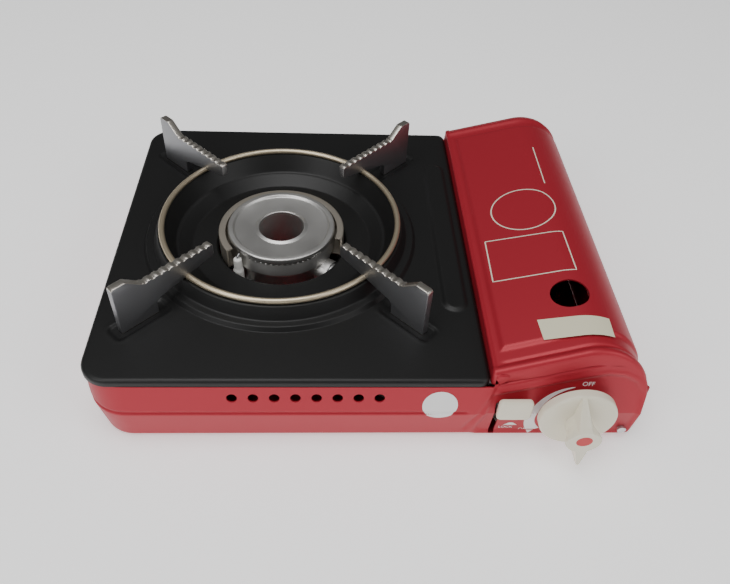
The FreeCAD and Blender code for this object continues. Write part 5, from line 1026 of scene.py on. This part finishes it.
@dataclass
class Burner:
    """The burner castings, their guard and the electrode."""

    centre: tuple[float, float] = (-57.3, 15.0)
    ports: int = 60

    def cap(self) -> bpy.types.Object:
        """The cap with its raised rim, dished face and flame ports."""
        face = rounded(
            [
                (32.7, 58.4),
                (15.7, 58.4, 0.3),
                (15.7, 61.0, 0.6),
                (18.5, 59.6, 1.2),
                (32.7, 60.6, 1.0),
                (33.9, 62.0, 0.7),
                (37.5, 62.0, 1.1),
                (37.5, 58.4, 0.4),
                (36.3, 58.4),
            ],
            5,
        )
        top = lathe("cap_face", face, self.centre, 360, closed=False, sharp=50)
        half = math.degrees(1.0 / 36.3)
        rings: list[list[tuple]] = [[], [], [], [], []]
        for i in range(self.ports):
            middle = 360 * i / self.ports
            spans = [
                (middle - 3 + half, 36.3),
                (middle, 36.3),
                (middle + 3 - half, 36.3),
                (middle + 3 - half, 33.5),
                (middle + 3 + half, 33.5),
            ]
            for degrees, outer in spans:
                c, s = math.cos(math.radians(degrees)), math.sin(math.radians(degrees))
                section = ((32.7, 58.4), (32.7, 55.8), (outer - 0.2, 55.6), (outer, 55.8), (outer, 58.5))
                for k, (r, z) in enumerate(section):
                    rings[k].append((self.centre[0] + r * c, self.centre[1] + r * s, z))
        band = grid_object("cap_band", np.array(rings), True, 30)
        return joined("burner_cap_casting", [top, band], 35)

    def build(self) -> None:
        """Makes and dresses the burner's pieces."""
        stand_for(self.cap(), Body.BASE, CAST.material(), CAST.slot, "burner_cap")
        section = rounded(
            [
                (15.7, 29.2), (34.0, 29.2, 1.0), (35.8, 45.0, 1.0), (37.6, 47.0, 0.9), (35.1, 55.6, 0.6),
                (33.3, 55.6, 0.4), (32.2, 47.0, 1.0), (32.2, 31.0, 1.5), (17.5, 31.0, 1.5), (17.5, 58.4, 0.3),
                (15.7, 58.4, 0.3),
            ],
            6,
        )
        body = lathe("burner_casting_body", section, self.centre, 240, sharp=50)
        turn = math.radians(-34.6)
        direction = np.array([math.cos(turn), math.sin(turn)])
        ends = [(*(np.array(self.centre) + direction * r), 38.5) for r in (31.0, 43.0)]
        socket = cylinder("burner_socket", ends[0], ends[1], 8.6, 64)
        body = joined("burner_casting", [body, socket], 50)
        stand_for(body, Body.BASE, CAST.material(), CAST.slot, "burner_body")
        guard = rounded(
            [
                (35.86, 43.8), (44.0, 43.8, 0.8), (44.0, 59.0, 0.8), (39.1, 59.0, 0.4),
                (39.1, 58.0, 0.4), (43.0, 58.0, 0.4), (43.0, 44.8, 0.4), (35.86, 44.8),
            ],
            5,
        )
        strip = lathe("guard_strip", guard, self.centre, 180, -15, 230, sharp=50)
        stand_for(strip, Body.BASE, GUARD.material(), GUARD.slot, "flame_guard")
        turn = math.radians(226)
        post = (self.centre[0] + 41 * math.cos(turn), self.centre[1] + 41 * math.sin(turn))
        section = rounded(
            [(0.8, 29.2), (3.6, 29.2, 0.5), (3.6, 45.6, 0.8), (2.9, 48.2, 0.8), (2.9, 56.0, 1.2), (0.8, 56.0)],
            5,
        )
        ceramic = lathe("electrode_insulator", section, post, 48, sharp=50)
        stand_for(ceramic, Body.BASE, CERAMIC.material(), CERAMIC.slot, "electrode_ceramic")


@dataclass
class ControlKnob:
    """The ivory control knob with its grip, pointer and red mark."""

    axis: tuple[float, float] = (126.5, 34.5)
    back: float = -126.5
    radius: float = 23.5
    depth: float = 20.46
    dial: float = 6.0
    tilt: float = 5.0

    def placed(self) -> Matrix:
        """From the knob's own axes, with Z towards the user, to the stove's."""
        turned = UPRIGHT @ Matrix.Rotation(math.radians(self.tilt), 4, "Z")
        return Matrix.Translation((self.axis[0], self.back, self.axis[1])) @ turned

    def to_stove(self, points: np.ndarray) -> np.ndarray:
        """Moves points from the knob's axes to the stove's."""
        place = self.placed()
        return np.array([tuple(place @ Vector(p)) for p in points])

    def half_width(self, v: np.ndarray, height: float) -> np.ndarray:
        """Half the grip's width along it, at a height above the dial from 0 to 1."""
        oval = 11.0 * np.sqrt(np.clip(1 - ((v + 1.5) / 9.6) ** 2, 0, 1))
        pointer = np.interp(v, [-25.4, -24.8, -10.5, -6.0], [1.0, 1.5, 4.2, 6.0])
        tail = np.interp(v, [2.0, 7.5, 23.0], [6.0, 4.2, 1.2])
        narrow = np.where(v < -1.5, pointer, tail)
        crown = smooth(0.35, 1.0, np.full(np.shape(v), height))
        body = np.maximum(oval * (0.72 + 0.28 * crown), narrow)
        return np.clip(body, 0.9, 11.0)

    def grip(self) -> bpy.types.Object:
        """The grip, lofted from the dial up to its oval face."""
        spans = ((-25.4, -11, 22), (-10.6, 8.1, 40), (8.6, 23, 24))
        stations = np.concatenate([np.linspace(*span) for span in spans])
        levels = np.linspace(0, 1, 15)
        rings = []
        for level in levels:
            ridge = np.interp(stations, [8.1, 23.0], [1.0, 0.06])
            rise = (self.depth - self.dial + 1.0) * level
            height = self.dial - 1.0 + rise * np.where(stations > 8.1, ridge, 1.0)
            half = self.half_width(stations, level)
            edge = 0.7 * smooth(0.92, 1.0, np.full(len(stations), level))
            half = np.maximum(half - edge, 0.3)
            right = np.column_stack([half, stations, height])
            left = np.column_stack([-half, stations, height])[::-1]
            rings.append(np.vstack([right, left]))
        grid = np.array(rings)
        rows, columns = grid.shape[:2]
        points = grid.reshape(-1, 3)
        faces = grid_faces(rows, columns, True)
        top = (rows - 1) * columns
        half = columns // 2
        for i in range(half - 1):
            faces.append((top + i, top + i + 1, top + columns - 2 - i, top + columns - 1 - i))
        return mesh_object("knob_grip", self.to_stove(points), faces, 38)

    def build(self) -> None:
        """Makes the knob and its mark."""
        profile = rounded(
            [(0.05, 4.0), (21.5, 4.0, 1.0), (21.5, 0.0, 0.3), (23.5, 0.0, 0.5), (23.5, 6.0, 1.6), (0.05, 6.3)],
            6,
        )
        spun = lathe("knob_dial", profile, (0, 0), 160, closed=False, sharp=45)
        spun.data.transform(Matrix.Scale(MM, 4) @ self.placed() @ Matrix.Scale(1 / MM, 4))
        knob = joined("knob_shell", [spun, self.grip()], 42)
        stand_for(knob, Body.KNOB, IVORY.material(), IVORY.slot, "knob")
        dot = around((0.0, -0.2), 4.9, 40, 4.5)
        mark = slab("knob_mark", [dot], self.depth - 0.5, self.depth + 0.0, 0.0, self.placed())
        mark.data.transform(Matrix.Translation((0, -0.00003, 0)))
        stand_for(mark, Body.KNOB, RED_INK.material(), RED_INK.slot)


@dataclass
class LeverButton:
    """The ivory button on the canister lever."""

    def build(self) -> None:
        """Makes the button with its rolled edges."""
        corners = [(78.0, 28.5, 3.0), (99.0, 28.5, 3.0), (99.0, 45.5, 3.0), (78.0, 45.5, 3.0)]
        outline = rounded(corners, 7, True)
        button = slab("button_cap", [outline], 123.6, 128.0, 1.5, UPRIGHT, 60)
        stand_for(button, Body.LEVER, IVORY.material(), IVORY.slot, "lever_button")


FRAME_CORNERS = [(84.9, -2.3), (136.3, -4.8), (136.7, -43.0), (84.2, -42.1)]
LINE_ENDS = [(135.9, 97.4), (135.5, 50.3)]
LABEL_CORNERS = [(104.5, -81.0), (147.2, -84.8), (146.6, -100.0), (105.3, -97.5)]


class Mark(Enum):
    """The generic words beside the controls."""

    OFF = "OFF"
    ON = "ON"
    LOCK = "LOCK"


@dataclass
class Markings:
    """Printed words, the flame wedge, the blank sticker and the plain frames on the lid."""

    lift: float = 0.06

    def on_front(self, x: float, z: float, size: float) -> Matrix:
        """Place for a flat mark on the control panel, facing forward."""
        lean = math.atan(LEAN) if z > CREASE else -math.atan(3.5 / 26)
        base = float(front_at(z)) if z > CREASE else FRONT + 3.5 * (CREASE - z) / 26
        back = 1.0 if x > 70 else 0.0
        turn = Matrix.Rotation(math.pi / 2 - lean, 4, "X")
        return Matrix.Translation((x, base + back - self.lift, z)) @ turn @ Matrix.Scale(size, 4)

    def word(self, mark: Mark, x: float, z: float, size: float) -> None:
        """Prints a word on the control panel."""
        curve = bpy.data.curves.new(f"print_{mark.value}", "FONT")
        curve.body = mark.value
        curve.align_x = "CENTER"
        curve.align_y = "CENTER"
        curve.extrude = 0.01
        holder = bpy.data.objects.new(curve.name, curve)
        bpy.context.scene.collection.objects.link(holder)
        bpy.context.view_layer.update()
        mesh = bpy.data.meshes.new_from_object(holder.evaluated_get(bpy.context.evaluated_depsgraph_get()))
        bpy.data.objects.remove(holder)
        mesh.transform(Matrix.Scale(MM, 4) @ self.on_front(x, z, size))
        obj = bpy.data.objects.new(f"print_{mark.value}", mesh)
        bpy.context.scene.collection.objects.link(obj)
        stand_for(obj, Body.BASE, WHITE_INK.material(), WHITE_INK.slot)

    def surface(self, x: np.ndarray, z: np.ndarray) -> np.ndarray:
        """Where the front's skin stands, with its grooves."""
        below = np.clip((CREASE - z) / (CREASE - 2.0), 0, 1)
        return FRONT + 3.5 * below + LEAN * np.maximum(z - CREASE, 0) + Tub().panel_relief(x, z)

    def on_panel(self, name: str, x: np.ndarray, z: np.ndarray, ink: Finish) -> None:
        """Lays a grid of points on the front as a thin print or sticker."""
        grid = np.stack([x, self.surface(x, z) - self.lift, z], axis=-1)
        stand_for(grid_object(name, grid), Body.BASE, ink.material(), ink.slot)

    def on_lid(self, name: str, x: np.ndarray, y: np.ndarray, ink: Finish) -> None:
        """Lays a grid of points on the lid's top as a thin print or label."""
        line, _ = Lid().section()
        upper = line[line[:, 1] > 59.0]
        z = np.interp(x, upper[:, 0], upper[:, 1]) + 0.12
        stand_for(grid_object(name, np.stack([x, y, z], axis=-1)), Body.LID, ink.material(), ink.slot)

    def lid_stroke(self, name: str, points: list[tuple], width: float, ink: Finish) -> None:
        """A printed stroke of even width along a line on the lid."""
        line = divided(np.array(points, float), 2.0)
        ahead = np.gradient(line, axis=0)
        side = np.column_stack([-ahead[:, 1], ahead[:, 0]])
        side /= np.linalg.norm(side, axis=1)[:, None]
        rows = [line + side * width * t for t in (-0.5, 0, 0.5)]
        self.on_lid(name, np.array([r[:, 0] for r in rows]), np.array([r[:, 1] for r in rows]), ink)

    def build(self) -> None:
        """Prints the panel's marks, the sticker and the lid's plain shapes."""
        self.word(Mark.OFF, 132.3, 50.8, 4.4)
        self.word(Mark.ON, 100.2, 7.2, 3.6)
        self.word(Mark.LOCK, 88.6, 10.0, 3.4)
        angle = np.radians(np.linspace(95, 215, 60))
        share = np.linspace(0, 1, 6)[:, None]
        reach = 28.3 - share * (0.4 + 7.6 * np.linspace(0, 1, 60) ** 0.8)
        across, up = 127.1 + reach * np.cos(angle), 20.4 + reach * np.sin(angle)
        self.on_panel("print_flame_wedge", across, up, WHITE_INK)
        arrow = np.array([[86.5, 91.0, 95.5], [89.5, 91.0, 92.5]])
        self.on_panel("print_arrow", arrow, np.array([[12.6, 12.6, 12.6], [15.6, 16.0, 15.6]]), WHITE_INK)
        turns = np.linspace(0, 2 * math.pi, 65)
        reach = np.linspace(0.02, 10.8, 22)[:, None]
        across, up = 43.9 + reach * np.cos(turns), 35.0 + reach * np.sin(turns)
        self.on_panel("blank_sticker", across, up, WHITE_INK)
        ring = [(115.3 + 22.0 * math.cos(t), 24.8 + 22.0 * math.sin(t)) for t in turns]
        self.lid_stroke("print_ring", ring, 0.9, PRINT)
        self.lid_stroke("print_frame", [*FRAME_CORNERS, FRAME_CORNERS[0]], 0.8, PRINT)
        self.lid_stroke("print_line", LINE_ENDS, 0.8, PRINT)
        a, b, c, d = (np.array(corner) for corner in LABEL_CORNERS)
        u, v = np.meshgrid(np.linspace(0, 1, 24), np.linspace(0, 1, 9))
        flat = [(1 - v) * ((1 - u) * a[k] + u * b[k]) + v * ((1 - u) * d[k] + u * c[k]) for k in (0, 1)]
        self.on_lid("label_blank", flat[0], flat[1], LABEL)


class Inside:
    """The pieces whose frame form stays, in their finishes."""

    finishes: dict[str, Finish] = {
        "galvanised": ZINC,
        "ceramic": CERAMIC,
        "bright_steel": BRIGHT,
        "lead_rubber": LEAD,
        "dark_plastic": DARK,
        "brass": BRASS,
        "regulator_alloy": DIECAST,
        "seal_rubber": SEAL,
        "foot_rubber": FOOT,
        "pale_steel": PALE,
        "champagne_wire": WIRE,
        "support_steel": SUPPORT,
        "ivory_plastic": IVORY,
        "red_enamel": RED,
        "black_enamel": BLACK,
        "burner_alloy": CAST,
        "guard_steel": GUARD,
    }

    def dress(self, frame: dict) -> None:
        """Gives every frame node its finish."""
        for part in frame["record"]["subparts"]:
            node = frame["nodes"][part["node"]]
            material = self.finishes[part["material_slot"]].material()
            for slot in node.material_slots:
                slot.material = material
            if not node.material_slots:
                node.data.materials.append(material)


@dataclass
class Studio:
    """Pale floor, soft lights and the camera at the photograph's angle."""

    eye: tuple[float, float, float] = (-24.85, -377.45, 387.80)
    yaw: float = 0.0748
    pitch: float = 0.7842
    roll: float = 0.0605
    focal: float = 717.3736

    def build(self) -> None:
        """Makes the floor, the lights and the camera."""
        floor = bpy.data.meshes.new("floor")
        floor.from_pydata([(-4, -4, 0), (4, -4, 0), (4, 4, 0), (-4, 4, 0)], [], [(0, 1, 2, 3)])
        ground = bpy.data.objects.new("floor", floor)
        bpy.context.scene.collection.objects.link(ground)
        pale = bpy.data.materials.new("floor_pale")
        pale.use_nodes = True
        pale.node_tree.nodes["Principled BSDF"].inputs["Base Color"].default_value = (0.96, 0.96, 0.96, 1)
        pale.node_tree.nodes["Principled BSDF"].inputs["Roughness"].default_value = 0.7
        pale.node_tree.nodes["Principled BSDF"].inputs["Emission Color"].default_value = (1, 1, 1, 1)
        pale.node_tree.nodes["Principled BSDF"].inputs["Emission Strength"].default_value = 0.5
        floor.materials.append(pale)
        world = bpy.data.worlds.new("studio")
        world.use_nodes = True
        world.node_tree.nodes["Background"].inputs["Color"].default_value = (1, 1, 1, 1)
        world.node_tree.nodes["Background"].inputs["Strength"].default_value = 0.12
        bpy.context.scene.world = world
        for name, place, target, size, power in (
            ("overhead", (-0.25, -0.15, 1.6), (0, 0, 0), 1.1, 15),
            ("key", (-1.0, -0.9, 1.0), (0, 0, 0.02), 0.8, 8),
            ("fill", (1.1, -0.7, 0.9), (0, 0, 0.03), 0.9, 6.5),
        ):
            data = bpy.data.lights.new(name, "AREA")
            data.size = size
            data.energy = power
            lamp = bpy.data.objects.new(name, data)
            lamp.location = place
            lamp.rotation_euler = (Vector(target) - Vector(place)).to_track_quat("-Z", "Y").to_euler()
            bpy.context.scene.collection.objects.link(lamp)
        level = math.cos(self.pitch)
        forward = Vector((math.sin(self.yaw) * level, math.cos(self.yaw) * level, -math.sin(self.pitch)))
        flat = Vector((math.cos(self.yaw), -math.sin(self.yaw), 0))
        rise = flat.cross(forward)
        right = flat * math.cos(self.roll) + rise * math.sin(self.roll)
        up = rise * math.cos(self.roll) - flat * math.sin(self.roll)
        data = bpy.data.cameras.new("photo_camera")
        data.sensor_width = 36
        data.lens = self.focal * 36 / 730
        data.clip_start = 0.01
        camera = bpy.data.objects.new("photo_camera", data)
        turn = Matrix((right, up, -forward)).transposed().to_4x4()
        camera.matrix_world = Matrix.Translation(Vector(self.eye) * MM) @ turn
        bpy.context.scene.collection.objects.link(camera)
        bpy.context.scene.camera = camera


def main() -> None:
    """Builds the stove over its frame."""
    logging.basicConfig(level=logging.INFO, format="%(message)s")
    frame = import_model()
    Inside().dress(frame)
    outside = (TopPlate(), Tub(), Lid(), PanSupport(), Burner(), ControlKnob(), LeverButton(), Markings())
    for assembly in outside:
        assembly.build()
    Studio().build()


if __name__ == "__main__":
    main()
